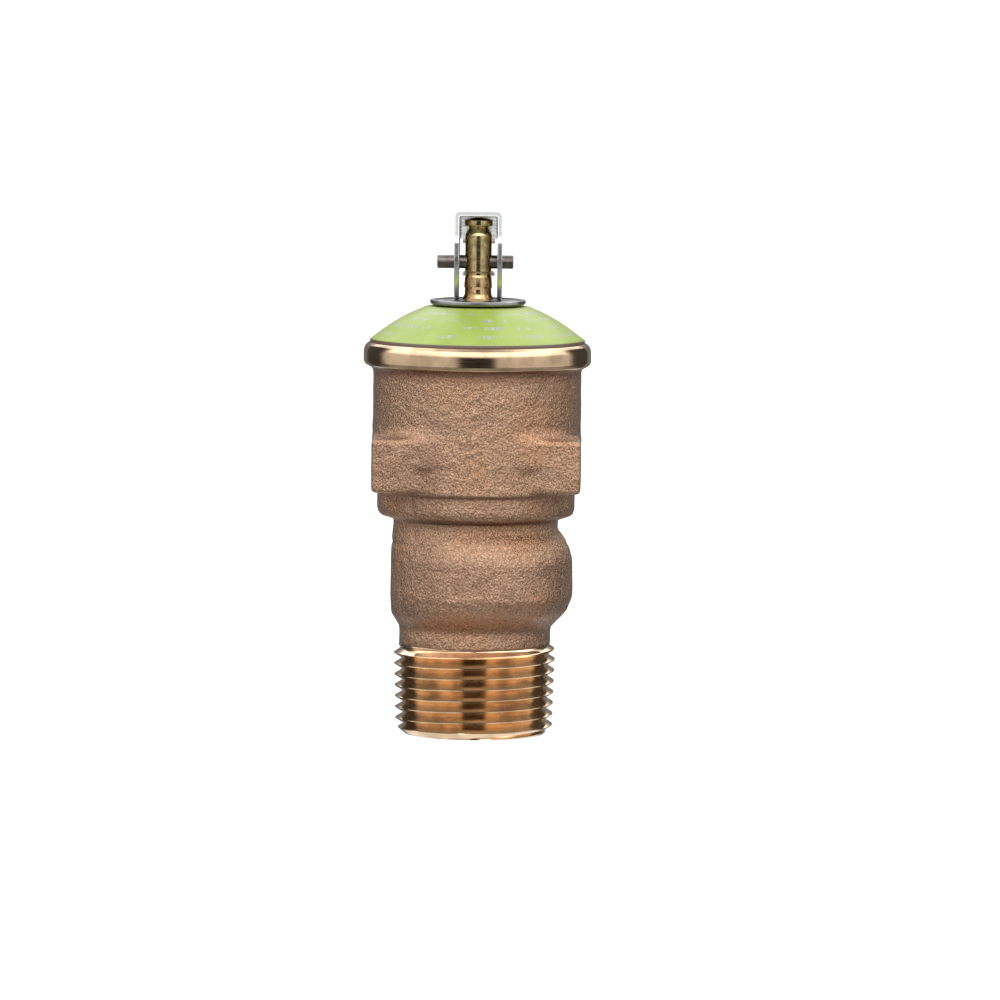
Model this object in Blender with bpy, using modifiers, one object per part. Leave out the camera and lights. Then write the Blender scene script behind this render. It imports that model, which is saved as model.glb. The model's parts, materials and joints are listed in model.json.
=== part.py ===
"""Pressure relief valve with a male tapered pipe inlet, a side outlet and a lever for testing it by hand.

The origin is on the valve's axis at the inlet's end face. +Z is up the stem, +Y points out of the outlet and
+X runs along the lever's pin. Sizes below are in millimetres, and the mesh helpers turn them into metres.
"""

import math

import bmesh
import bpy
from mathutils import Matrix, Vector

MM = 0.001  # metres in a millimetre
GAP = 0.3  # left between pieces that touch

# Inlet thread: three-quarter inch taper, right-handed
PITCH = 1.8143
THREAD_LENGTH = 15.0
CREST_R = 13.015  # at the end face
TAPER = 1 / 32  # growth of the radius for each unit of length
THREAD_DEPTH = 1.4
THREAD_SIDES = 24
INLET_FACE_R = 11.6
INLET_BORE_R = 9.2

# Body outline, bottom to top
LOWER_NECK_R = 12.6
UPPER_NECK_R = 13.65
BULGE = ((15.4, 20.6, 3.0), (16.4, 23.0, 3.0), (16.4, 29.4, 3.0), (15.6, 32.0, 3.0))  # its fullest side
BULGE_LOW_R = 13.8  # on the opposite side
BULGE_TURN = math.radians(-35)  # the way it stands out, from +X
BULGE_BOTTOM_Z = 17.9
BULGE_TOP_Z = 34.2
RING_R = 16.4
RING_BOTTOM_Z = 35.8
BARREL_R = 17.3
BARREL_BOTTOM_Z = 40.3
RIM_R = 18.9
RIM_BOTTOM_Z = 61.75
RIM_TOP_Z = 65.0
RIM_ROUND = 0.9
BODY_SIDES = 36
ROUND_SIDES = 24  # on the smaller pieces

# Wrench block and outlet
BLOCK_X = 34.5
BLOCK_Y = 30.0
BLOCK_BOTTOM_Z = 41.0
BLOCK_TOP_Z = 49.9
BLOCK_EDGE = 0.9
OUTLET_Z = 46.5
OUTLET_FACE_Y = 32.0
BOSS_R = 16.0
BEAD_R = 16.6
BEAD_LENGTH = 5.0
SOCKET_R = 12.05
SOCKET_DEPTH = 14.0
PORT_R = 10.4
PORT_START_Y = 8.0  # inside the discharge chamber
CHAMFER = 0.6  # on the outlet's bead

# Hollows of the body
INLET_CHAMBER_R = 11.2
INLET_CHAMBER_Z = (19.0, 21.0, 29.6, 31.6)  # where it starts and stops to widen, and to narrow again
SEAT_THROAT_R = 8.4
SEAT_POCKET_R = 9.85
SEAT_LEDGE_Z = 33.0
CHAMBER_FLOOR_Z = 35.2
CHAMBER_FLOOR_R = 11.4
CHAMBER_R = 14.2
CHAMBER_WALL_Z = 38.0
SHOULDER_Z = 61.6
FLANGE_POCKET_R = 16.3
LIP_R = 15.3
LIP_Z = 63.9

# Seat, disc and their holder
SEAT_R = 7.6
SEAT_RING_R = 9.6
SEAT_Z = 36.6
DISC_R = 9.0
DISC_HOLE_R = 4.7
DISC_THICK = 2.0
HOLDER_R = 10.1
HOLDER_WEB_Z = 41.0
HUB_R = 6.1
HUB_TOP_Z = 47.2
POCKET_R = 4.4
POCKET_TOP_Z = 45.0
WING_R = 13.9
WING_THICK = 1.8
WING_HEIGHT = 4.2
WING_Z = 40.5  # its middle
RETAINER_THICK = 0.7
SCREW_HEAD_R = 5.6
SCREW_HEAD_THICK = 1.4
SCREW_SHANK_R = 4.1
SCREW_TOP_Z = 39.3
SCREW_SLOT = (12.0, 1.2, 0.8)
WING_ROOT = 0.15  # how far it reaches into the holder
WINGS = 4

# Spring
COIL_R = 8.2
WIRE_R = 0.95
COIL_TURNS = 5.5
COIL_POINTS = 12  # for each turn
END_CLOSING = 0.45  # how much the end turns close up, from 0 for an even pitch
UPPER_BUTTON_Z = 60.6
BUTTON_R = 9.6
BUTTON_THICK = 0.8
BUTTON_RIM = 0.5  # thickness of the lower button's rim
BUTTON_RIM_HEIGHT = 1.8

# Bonnet, nameplate and lever plate
FLANGE_R = 16.05
FLANGE_BOTTOM_Z = 62.55
FLANGE_TOP_Z = 63.65
BONNET_TOP_Z = 70.4
BONNET_EDGE_Z = 65.9  # where its cone starts
BONNET_SHEET = 1.2
CONE_ANGLE = math.radians(34)
HUB_WALL_R = 8.0
HUB_BOTTOM_Z = 65.0
GASKET_BOTTOM_Z = 61.85
GASKET_TOP_Z = 62.3
SCREW_R = 5.5
SCREW_BOTTOM_Z = 62.6
STEM_BORE_R = 2.45
SEAL_POCKET_R = 3.9
SEAL_POCKET_Z = 68.5
SEAL_R = 3.03  # from the axis to the middle of its section
SEAL_WIRE_R = 0.7
SEAL_Z = 69.4
PLATE_EDGE_R = 17.85
PLATE_EDGE_Z = 65.3
PLATE_FLAT_R = 8.7
PLATE_TOP_Z = 71.15
PLATE_FULLNESS = 0.58  # how far the cone swells above a straight line
PLATE_HOLE_R = 2.9
SHEET = 0.4  # nameplate's thickness
LEVER_PLATE_R = 7.95
LEVER_PLATE_BOTTOM_Z = 71.45
LEVER_PLATE_TOP_Z = 72.25
BEARING_Z = 72.0  # the floor of its shallow dish, which the lever's feet bear on

# Stem and pin
PIN_Z = 78.5
PIN_R = 1.12
PIN_CLEARANCE = 0.08
PIN_LENGTH = 12.65
PIN_SHIFT = -0.5
STEM_R = 2.2
STEM_BOTTOM_Z = 42.6
HEAD_R = 2.35
HEAD_REACH = 7.38  # the head's crown is an arc of this radius about the pin
HEAD_BOTTOM_Z = 84.6
NECK_R = 1.65
GROOVE_R = 1.6
GROOVE_Z = (42.95, 43.85)
CLIP_R = 3.6
CLIP_Z = (43.1, 43.7)
CLIP_MOUTH = 1.8
THRUST_WASHER_R = 4.1
THRUST_WASHER_Z = (44.0, 44.65)
# Radius and height of the turned rings that show between the pin and the lever plate
STEM_RINGS = (
    (2.08, 76.65),
    (2.08, 76.3),
    (2.2, 76.1),
    (2.33, 74.3),
    (2.22, 74.05),
    (2.25, 73.1),
    (2.55, 72.45),
    (2.55, 72.3),
)

# Lever
LIFT = 2.6  # the stem's travel
LEVER_SWING = math.radians(85)
FOOT_DROP = PIN_Z - BEARING_Z - 0.2  # from the pin's axis to the feet
LEVER_WIDTH = 7.95
LEVER_SHEET = 0.83
WEB_FRONT_Y = -4.5
WEB_FRONT_Z = 8.58  # top of the web above the pin's axis
WEB_FRONT_SLOPE = math.radians(3)
WEB_KNEE_Y = 6.0
FRONT_CORNER = (-9.0, 4.2)  # where the ears' front edge turns up to the web
HEEL_Y = 1.9  # rear end of the flat that the feet rest on
REAR_HOLLOW = (6.8, -1.6, 3.5)  # the inside corner behind the heel, and its rounding
WEB_REAR_Y = 21.5
WEB_REAR_Z = 3.3
LONG_BEND = 0.9  # rounding of the bends between web and ears
TAB_WIDTH = 5.5
TAB_Y = 24.0
TAB_TIP_Z = -3.9
TAB_BEND_R = 0.8
WAIST_WIDTH = 4.0  # of the tab, between its two notches
WAIST_Z = (-3.05, 1.5)


def new_collection(name):
    collection = bpy.data.collections.new(name)
    bpy.context.scene.collection.children.link(collection)
    return collection


def material(name, colour, metallic, roughness):
    made = bpy.data.materials.new(name)
    made.use_nodes = True
    shader = made.node_tree.nodes["Principled BSDF"]
    shader.inputs["Base Color"].default_value = (*colour, 1.0)
    shader.inputs["Metallic"].default_value = metallic
    shader.inputs["Roughness"].default_value = roughness
    made.diffuse_color = (*colour, 1.0)
    return made


def fillet(points, steps=4):
    """The outline through points (r, z) or (r, z, radius), each corner with a radius turned into an arc."""
    outline = []
    for index, point in enumerate(points):
        corner = Vector(point[:2])
        radius = point[2] if len(point) > 2 else 0.0
        if not radius:
            outline.append(corner)
            continue
        before = (Vector(points[index - 1][:2]) - corner).normalized()
        after = (Vector(points[index + 1][:2]) - corner).normalized()
        half = before.angle(after) / 2
        centre = corner + (before + after).normalized() * radius / math.sin(half)
        start = corner + before * radius / math.tan(half) - centre
        end = corner + after * radius / math.tan(half) - centre
        turn = start.angle_signed(end)
        for step in range(steps + 1):
            outline.append(centre + Matrix.Rotation(-turn * step / steps, 2) @ start)
    return outline


def link(name, mesh, collection, look=None):
    made = bpy.data.objects.new(name, mesh)
    collection.objects.link(made)
    if look:
        mesh.materials.append(look)
    return made


def as_helper(made):
    made.hide_render = True
    made.display_type = "WIRE"
    return made


def smooth(made, degrees=35):
    made.data.shade_smooth()
    made.data.set_sharp_from_angle(angle=math.radians(degrees))


def signed_area(points):
    following = points[1:] + points[:1]
    return sum(a[0] * b[1] - b[0] * a[1] for a, b in zip(points, following)) / 2


def turned(name, profile, collection, look=None, sides=ROUND_SIDES):
    """A Screw modifier turns the outline (r, z) about the Z axis. Ends on the axis leave the outline open."""
    points = [tuple(point) for point in profile]
    if signed_area(points) > 0:
        points.reverse()  # the outer side has to run down
    mesh = bpy.data.meshes.new(name)
    edges = [(i, i + 1) for i in range(len(points) - 1)]
    if points[0][0] > 0 or points[-1][0] > 0:
        edges.append((len(points) - 1, 0))
    mesh.from_pydata([(r * MM, 0.0, z * MM) for r, z in points], edges, [])
    made = link(name, mesh, collection, look)
    screw = made.modifiers.new("turn", "SCREW")
    screw.steps = sides
    screw.render_steps = sides
    screw.use_merge_vertices = True
    screw.merge_threshold = 0.00001
    screw.use_smooth_shade = True
    return made


def mesh_object(name, build, collection, look=None):
    """The object whose mesh build(bm) fills in."""
    bm = bmesh.new()
    build(bm)
    bmesh.ops.recalc_face_normals(bm, faces=bm.faces)
    mesh = bpy.data.meshes.new(name)
    bm.to_mesh(mesh)
    bm.free()
    return link(name, mesh, collection, look)


def box(name, size, centre, collection, look=None, bevel=0.0):
    def build(bm):
        scaling = Matrix.Diagonal((*(side * MM for side in size), 1.0))
        place = Matrix.Translation(Vector(centre) * MM)
        bmesh.ops.create_cube(bm, size=1.0, matrix=place @ scaling)
        if bevel:
            bmesh.ops.bevel(bm, geom=bm.edges[:], offset=bevel * MM, segments=2, profile=0.5, affect="EDGES")

    return mesh_object(name, build, collection, look)


def rod(name, radius, start, end, collection, look=None, sides=ROUND_SIDES, bevel=0.0):
    """A cylinder from start to end, with its rims bevelled."""

    def build(bm):
        along = (Vector(end) - Vector(start)) * MM
        middle = Matrix.Translation(Vector(start) * MM + along / 2)
        place = middle @ along.to_track_quat("Z", "Y").to_matrix().to_4x4()
        bmesh.ops.create_cone(
            bm,
            cap_ends=True,
            segments=sides,
            radius1=radius * MM,
            radius2=radius * MM,
            depth=along.length,
            matrix=place,
        )
        if bevel:
            rims = [edge for edge in bm.edges if any(len(face.verts) > 4 for face in edge.link_faces)]
            bmesh.ops.bevel(bm, geom=rims, offset=bevel * MM, segments=2, profile=0.5, affect="EDGES")

    return mesh_object(name, build, collection, look)


def extruded(name, outline, width, collection, look=None):
    """The outline, in (y, z), made as thick as width and centred on x = 0."""

    def build(bm):
        corners = [bm.verts.new((-width / 2 * MM, y * MM, z * MM)) for y, z in outline]
        face = bm.faces.new(corners)
        swept = bmesh.ops.extrude_face_region(bm, geom=[face])["geom"]
        moved = [item for item in swept if isinstance(item, bmesh.types.BMVert)]
        bmesh.ops.translate(bm, verts=moved, vec=(width * MM, 0.0, 0.0))

    return mesh_object(name, build, collection, look)


def boolean(target, operation, tool):
    modifier = target.modifiers.new(tool.name, "BOOLEAN")
    modifier.operation = operation
    modifier.solver = "EXACT"
    modifier.object = as_helper(tool)


def boolean_all(target, operation, name, tools):
    """One Boolean with several tools at once, which may overlap each other."""
    group = bpy.data.collections.new(name)
    bpy.data.collections["cutters"].children.link(group)
    for tool in tools:
        group.objects.link(as_helper(tool))
    modifier = target.modifiers.new(name, "BOOLEAN")
    modifier.operation = operation
    modifier.solver = "EXACT"
    modifier.operand_type = "COLLECTION"
    modifier.collection = group
    modifier.use_self = True


def join(target, *tools):
    for tool in tools:
        boolean(target, "UNION", tool)


def cut(target, *tools):
    for tool in tools:
        boolean(target, "DIFFERENCE", tool)


def ease(low, high, value):
    """0 below low, 1 above high, and smooth between them."""
    share = min(max((value - low) / (high - low), 0.0), 1.0)
    return share * share * (3 - 2 * share)


def body_outline():
    """The body's outline through the fullest part of the bulge, bottom to top."""
    return fillet(
        [
            (LOWER_NECK_R, THREAD_LENGTH - 0.6),
            (LOWER_NECK_R, BULGE_BOTTOM_Z, 1.2),
            *BULGE,
            (UPPER_NECK_R, BULGE_TOP_Z, 0.8),
            (UPPER_NECK_R, RING_BOTTOM_Z, 0.5),
            (RING_R - 0.3, RING_BOTTOM_Z + 0.8, 0.6),
            (RING_R, RING_BOTTOM_Z + 1.9, 0.8),
            (RING_R, BARREL_BOTTOM_Z),
            (BARREL_R, BARREL_BOTTOM_Z + 0.2),
            (BARREL_R, RIM_BOTTOM_Z - 1.2, 1.2),
            (RIM_R - 0.4, RIM_BOTTOM_Z),
            (RIM_R, RIM_BOTTOM_Z + 0.3),
            (RIM_R, RIM_TOP_Z, RIM_ROUND),
            (LIP_R - 2.0, RIM_TOP_Z),
        ],
        steps=2,
    )


def flat_side_radius(z):
    """The body's radius opposite the bulge, between the two necks."""
    rise = ease(BULGE_BOTTOM_Z, BULGE_BOTTOM_Z + 2.5, z) * (BULGE_LOW_R - LOWER_NECK_R)
    fall = ease(BULGE_TOP_Z - 1.6, BULGE_TOP_Z - 0.3, z) * (BULGE_LOW_R - UPPER_NECK_R)
    return LOWER_NECK_R + rise - fall


def body_casting(bm):
    """Rings of the outline lofted round the axis, the bulge standing out to one side."""
    rings = []
    for r, z in body_outline():
        low_r = flat_side_radius(z) if z <= BULGE_TOP_Z else r
        ring = []
        for side in range(BODY_SIDES):
            angle = math.tau * side / BODY_SIDES
            share = (1 + math.cos(angle - BULGE_TURN)) / 2
            radius = low_r + (r - low_r) * share
            ring.append(bm.verts.new((radius * math.cos(angle) * MM, radius * math.sin(angle) * MM, z * MM)))
        rings.append(ring)
    for lower, upper in zip(rings, rings[1:]):
        for side in range(BODY_SIDES):
            following = (side + 1) % BODY_SIDES
            bm.faces.new((lower[side], lower[following], upper[following], upper[side]))
    bm.faces.new(rings[0])
    bm.faces.new(rings[-1])


def thread_radius(z, ridge):
    """The radius at height z, where ridge is 1 on the crest and 0 at the root. The thread's top fades out."""
    crest = CREST_R + z * TAPER
    fade = min(max((z - (THREAD_LENGTH - 1.6)) / 1.8, 0.0), 1.0)
    root = crest - THREAD_DEPTH
    core = LOWER_NECK_R - 0.2
    crest += (core - crest) * fade**2
    root += (core - root) * fade
    return root + (crest - root) * ridge


def thread_blank(bm):
    """A helical ridge, longer than the thread at both ends. Each row of vertices climbs one pitch a turn."""
    ridge = (1.0, 0.0, 0.0)
    at = (0.84, 1.30, 1.38)  # their places along the pitch, none of them level with the end face
    turns = int(THREAD_LENGTH / PITCH) + 4
    rows = []
    for turn in range(turns):
        for place, height in zip(at, ridge):
            row = []
            for side in range(THREAD_SIDES):
                share = side / THREAD_SIDES
                z = (turn - 2 + place + share) * PITCH
                r = thread_radius(z, height)
                angle = math.tau * share
                row.append(bm.verts.new((r * math.cos(angle) * MM, r * math.sin(angle) * MM, z * MM)))
            rows.append(row)
    step = len(at)  # rows in one pitch
    last = THREAD_SIDES - 1
    for index in range(len(rows) - 1):
        lower, upper = rows[index], rows[index + 1]
        for side in range(last):
            bm.faces.new((lower[side], lower[side + 1], upper[side + 1], upper[side]))
        if index + step + 1 < len(rows):
            bm.faces.new((lower[last], rows[index + step][0], rows[index + step + 1][0], upper[last]))
    low_end = rows[0] + [row[0] for row in reversed(rows[1 : step + 1])]
    high_end = rows[-1] + [row[last] for row in reversed(rows[-step - 1 : -1])]
    for loop in (low_end, high_end):
        hub = bm.verts.new((0.0, 0.0, sum(vertex.co.z for vertex in loop) / len(loop)))
        for first, second in zip(loop, loop[1:] + loop[:1]):
            bm.faces.new((first, second, hub))


def point_out(made):
    """Lays a shape turned about Z along the outlet's axis."""
    made.rotation_euler.x = -math.pi / 2
    made.location.z = OUTLET_Z * MM


def make_body(parts, tools, look):
    body = mesh_object("valve_body", body_casting, parts, look)
    block = box(
        "wrench_block",
        (BLOCK_X, BLOCK_Y, BLOCK_TOP_Z - BLOCK_BOTTOM_Z),
        (0, 0, (BLOCK_TOP_Z + BLOCK_BOTTOM_Z) / 2),
        tools,
        bevel=BLOCK_EDGE,
    )
    bead_start = OUTLET_FACE_Y - BEAD_LENGTH
    boss = turned(
        "outlet_boss",
        [
            (0, PORT_START_Y - 2),
            (BOSS_R, PORT_START_Y - 2),
            (BOSS_R, bead_start - CHAMFER),
            (BEAD_R, bead_start),
            (BEAD_R, OUTLET_FACE_Y - CHAMFER),
            (BEAD_R - CHAMFER, OUTLET_FACE_Y),
            (0, OUTLET_FACE_Y),
        ],
        tools,
        sides=BODY_SIDES,
    )
    point_out(boss)
    thread = mesh_object("thread", thread_blank, tools)
    chamfer_top = INLET_FACE_R + 2.4
    envelope = turned(
        "thread_envelope",
        [(0, 0), (INLET_FACE_R, 0), (chamfer_top, 2.0), (chamfer_top, THREAD_LENGTH), (0, THREAD_LENGTH)],
        tools,
        sides=BODY_SIDES,
    )
    boolean(thread, "INTERSECT", envelope)
    boolean_all(body, "UNION", "body_additions", (thread, block, boss))

    inlet = turned(
        "inlet_hollow",
        [
            (0, -1),
            (INLET_BORE_R, -1),
            (INLET_BORE_R, INLET_CHAMBER_Z[0]),
            (INLET_CHAMBER_R, INLET_CHAMBER_Z[1]),
            (INLET_CHAMBER_R, INLET_CHAMBER_Z[2]),
            (SEAT_THROAT_R, INLET_CHAMBER_Z[3]),
            (SEAT_THROAT_R, SEAT_LEDGE_Z),
            (SEAT_POCKET_R, SEAT_LEDGE_Z),
            (SEAT_POCKET_R, CHAMBER_FLOOR_Z + 0.5),
            (0, CHAMBER_FLOOR_Z + 0.5),
        ],
        tools,
        sides=BODY_SIDES,
    )
    chamber = turned(
        "discharge_hollow",
        [
            (0, CHAMBER_FLOOR_Z),
            (CHAMBER_FLOOR_R, CHAMBER_FLOOR_Z),
            (CHAMBER_R, CHAMBER_WALL_Z),
            (CHAMBER_R, SHOULDER_Z),
            (FLANGE_POCKET_R, SHOULDER_Z),
            (FLANGE_POCKET_R, LIP_Z),
            (LIP_R, LIP_Z + 0.2),
            (LIP_R, RIM_TOP_Z + 1),
            (0, RIM_TOP_Z + 1),
        ],
        tools,
        sides=BODY_SIDES,
    )
    socket_start = OUTLET_FACE_Y - SOCKET_DEPTH
    outlet = turned(
        "outlet_hollow",
        [
            (0, PORT_START_Y),
            (PORT_R, PORT_START_Y),
            (PORT_R, socket_start - 1),
            (SOCKET_R, socket_start),
            (SOCKET_R, OUTLET_FACE_Y - 0.8),
            (SOCKET_R + 1.8, OUTLET_FACE_Y + 1),
            (0, OUTLET_FACE_Y + 1),
        ],
        tools,
        sides=BODY_SIDES,
    )
    point_out(outlet)
    boolean_all(body, "DIFFERENCE", "body_hollows", (inlet, chamber, outlet))
    return body


def make_seat_ring(parts, look):
    return turned(
        "seat_ring",
        [
            (SEAT_R, SEAT_LEDGE_Z + GAP),
            (SEAT_RING_R, SEAT_LEDGE_Z + GAP),
            (SEAT_RING_R, CHAMBER_FLOOR_Z + 0.4),
            (SEAT_R + 1.3, SEAT_Z),
            (SEAT_R + 0.2, SEAT_Z),
            (SEAT_R, SEAT_Z - 0.2),
        ],
        parts,
        look,
        sides=BODY_SIDES,
    )


def make_poppet(parts, tools, looks):
    """The disc holder, what it holds, and the washer that the spring stands on."""
    skirt_z = SEAT_Z + 0.6
    recess_z = SEAT_Z + GAP + DISC_THICK + GAP
    holder = turned(
        "disc_holder",
        [
            (HOLDER_R, skirt_z),
            (HOLDER_R, HOLDER_WEB_Z),
            (HUB_R, HOLDER_WEB_Z),
            (HUB_R, HUB_TOP_Z - 0.5),
            (HUB_R - 0.5, HUB_TOP_Z),
            (STEM_BORE_R, HUB_TOP_Z),
            (STEM_BORE_R, POCKET_TOP_Z),
            (POCKET_R, POCKET_TOP_Z),
            (POCKET_R, recess_z),
            (DISC_R + 0.25, recess_z),
            (DISC_R + 0.25, skirt_z),
        ],
        parts,
        looks["brass"],
    )
    for wing in range(WINGS):
        blade = box(
            f"wing_{wing + 1}",
            (WING_R - HOLDER_R + WING_ROOT, WING_THICK, WING_HEIGHT),
            ((WING_R + HOLDER_R - WING_ROOT) / 2, 0, WING_Z),
            tools,
        )
        blade.rotation_euler.z = math.tau * (wing + 0.5) / WINGS
        join(holder, blade)
    disc_z = SEAT_Z + GAP
    disc_top_z = disc_z + DISC_THICK
    section = [(DISC_HOLE_R, disc_z), (DISC_R, disc_z), (DISC_R, disc_top_z), (DISC_HOLE_R, disc_top_z)]
    disc = turned("seat_disc", section, parts, looks["rubber"])
    washer_z = disc_z - 0.25 - RETAINER_THICK
    washer_bore_r = SCREW_SHANK_R + 0.25
    washer = turned(
        "disc_retainer",
        [
            (washer_bore_r, washer_z),
            (SEAT_R - 0.9, washer_z),
            (SEAT_R - 0.7, washer_z + RETAINER_THICK),
            (washer_bore_r, washer_z + RETAINER_THICK),
        ],
        parts,
        looks["steel"],
    )
    head_z = washer_z - 0.25
    head_bottom_z = head_z - SCREW_HEAD_THICK
    screw = turned(
        "disc_screw",
        [
            (0, head_bottom_z),
            (SCREW_HEAD_R - 0.4, head_bottom_z),
            (SCREW_HEAD_R, head_bottom_z + 0.4),
            (SCREW_HEAD_R, head_z),
            (SCREW_SHANK_R, head_z),
            (SCREW_SHANK_R, SCREW_TOP_Z),
            (0, SCREW_TOP_Z),
        ],
        parts,
        looks["brass"],
    )
    slot = box("screw_slot", SCREW_SLOT, (0, 0, head_bottom_z + 0.1), tools)
    cut(screw, slot)
    button_z = HOLDER_WEB_Z + GAP
    button = turned(
        "lower_spring_button",
        [
            (HUB_R + GAP, button_z),
            (BUTTON_R, button_z),
            (BUTTON_R, button_z + BUTTON_RIM_HEIGHT),
            (BUTTON_R - BUTTON_RIM, button_z + BUTTON_RIM_HEIGHT),
            (BUTTON_R - BUTTON_RIM, button_z + BUTTON_THICK),
            (HUB_R + GAP, button_z + BUTTON_THICK),
        ],
        parts,
        looks["steel"],
    )
    return [holder, disc, washer, screw, button]


def make_spring(parts, look):
    """A coil on a polyline, with its end turns closed up as on a ground spring."""
    low = HOLDER_WEB_Z + GAP + BUTTON_THICK + GAP + WIRE_R
    high = UPPER_BUTTON_Z - GAP - WIRE_R
    count = int(COIL_TURNS * COIL_POINTS)
    curve = bpy.data.curves.new("pressure_spring", "CURVE")
    curve.dimensions = "3D"
    curve.bevel_depth = WIRE_R * MM
    curve.bevel_resolution = 2
    curve.use_fill_caps = True
    spline = curve.splines.new("POLY")
    spline.points.add(count)
    for index in range(count + 1):
        share = index / count
        angle = math.tau * COIL_TURNS * share
        eased = share - math.sin(math.tau * share) / math.tau * END_CLOSING
        place = Vector((COIL_R * math.cos(angle), COIL_R * math.sin(angle), low + (high - low) * eased)) * MM
        spline.points[index].co = (*place, 1.0)
    curve.materials.append(look)
    made = bpy.data.objects.new("pressure_spring", curve)
    parts.objects.link(made)
    return made


def make_stem(parts, tools, look):
    """The stem, turned from the domed head down to the groove for its clip, and drilled for the pin."""
    crown = []
    edge = math.asin((HEAD_R - 0.1) / HEAD_REACH)
    for step in range(4):
        angle = edge * step / 3
        crown.append((HEAD_REACH * math.sin(angle), PIN_Z + HEAD_REACH * math.cos(angle)))
    shoulder = fillet([(NECK_R, 84.45), (NECK_R, 84.2, 0.3), (STEM_R, 83.1, 1.2), (STEM_R, 76.9)], steps=2)
    profile = [
        *crown,
        (HEAD_R, crown[-1][1] - 0.12),
        (HEAD_R - 0.07, HEAD_BOTTOM_Z),
        *shoulder,
        *STEM_RINGS,
        (STEM_R, STEM_RINGS[-1][1]),
        (STEM_R, GROOVE_Z[1]),
        (GROOVE_R, GROOVE_Z[1]),
        (GROOVE_R, GROOVE_Z[0]),
        (STEM_R, GROOVE_Z[0]),
        (STEM_R - 0.25, STEM_BOTTOM_Z),
        (0.0, STEM_BOTTOM_Z),
    ]
    stem = turned("stem", profile, parts, look)
    past = 5.0  # how far the cutter reaches to each side of the axis
    hole = rod("pin_hole", PIN_R + PIN_CLEARANCE, (-past, 0, PIN_Z), (past, 0, PIN_Z), tools)
    cut(stem, hole)
    return stem


def make_clip(parts, tools, look):
    """A flat retaining ring with a mouth, snapped into the stem's groove."""
    low, high = CLIP_Z
    bore_r = GROOVE_R + 0.12
    clip = turned("stem_clip", [(bore_r, low), (CLIP_R, low), (CLIP_R, high), (bore_r, high)], parts, look)
    past = 6.0  # the cutter's length, from the axis outwards
    mouth = box("clip_mouth", (past, CLIP_MOUTH, 2.0), (past / 2, 0, (low + high) / 2), tools)
    cut(clip, mouth)
    return clip


def cam_outline(count=10):
    """The foot's curve about the pin. It keeps one height above the plate while the stem climbs with it."""
    climb = LIFT / LEVER_SWING
    points = []
    for step in range(count + 1):
        angle = LEVER_SWING * step / count
        reach = FOOT_DROP + climb * angle
        down = Vector((-math.sin(angle), -math.cos(angle)))
        across = Vector((-math.cos(angle), math.sin(angle)))
        points.append(down * reach + across * climb)
    return points


def round_bends(lever):
    """Rounds the two long edges where the web turns down into the ears."""
    bm = bmesh.new()
    bm.from_mesh(lever.data)
    side_x = LEVER_WIDTH / 2 * MM
    bends = []
    for edge in bm.edges:
        xs = [vertex.co.x for vertex in edge.verts]
        on_side = abs(xs[0] - xs[1]) < MM / 1000 and abs(abs(xs[0]) - side_x) < MM / 1000
        if on_side and min(vertex.co.z for vertex in edge.verts) > (WEB_REAR_Z - 0.01) * MM:
            bends.append(edge)
    bmesh.ops.bevel(bm, geom=bends, offset=LONG_BEND * MM, segments=3, profile=0.5, affect="EDGES")
    bm.to_mesh(lever.data)
    bm.free()


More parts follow.
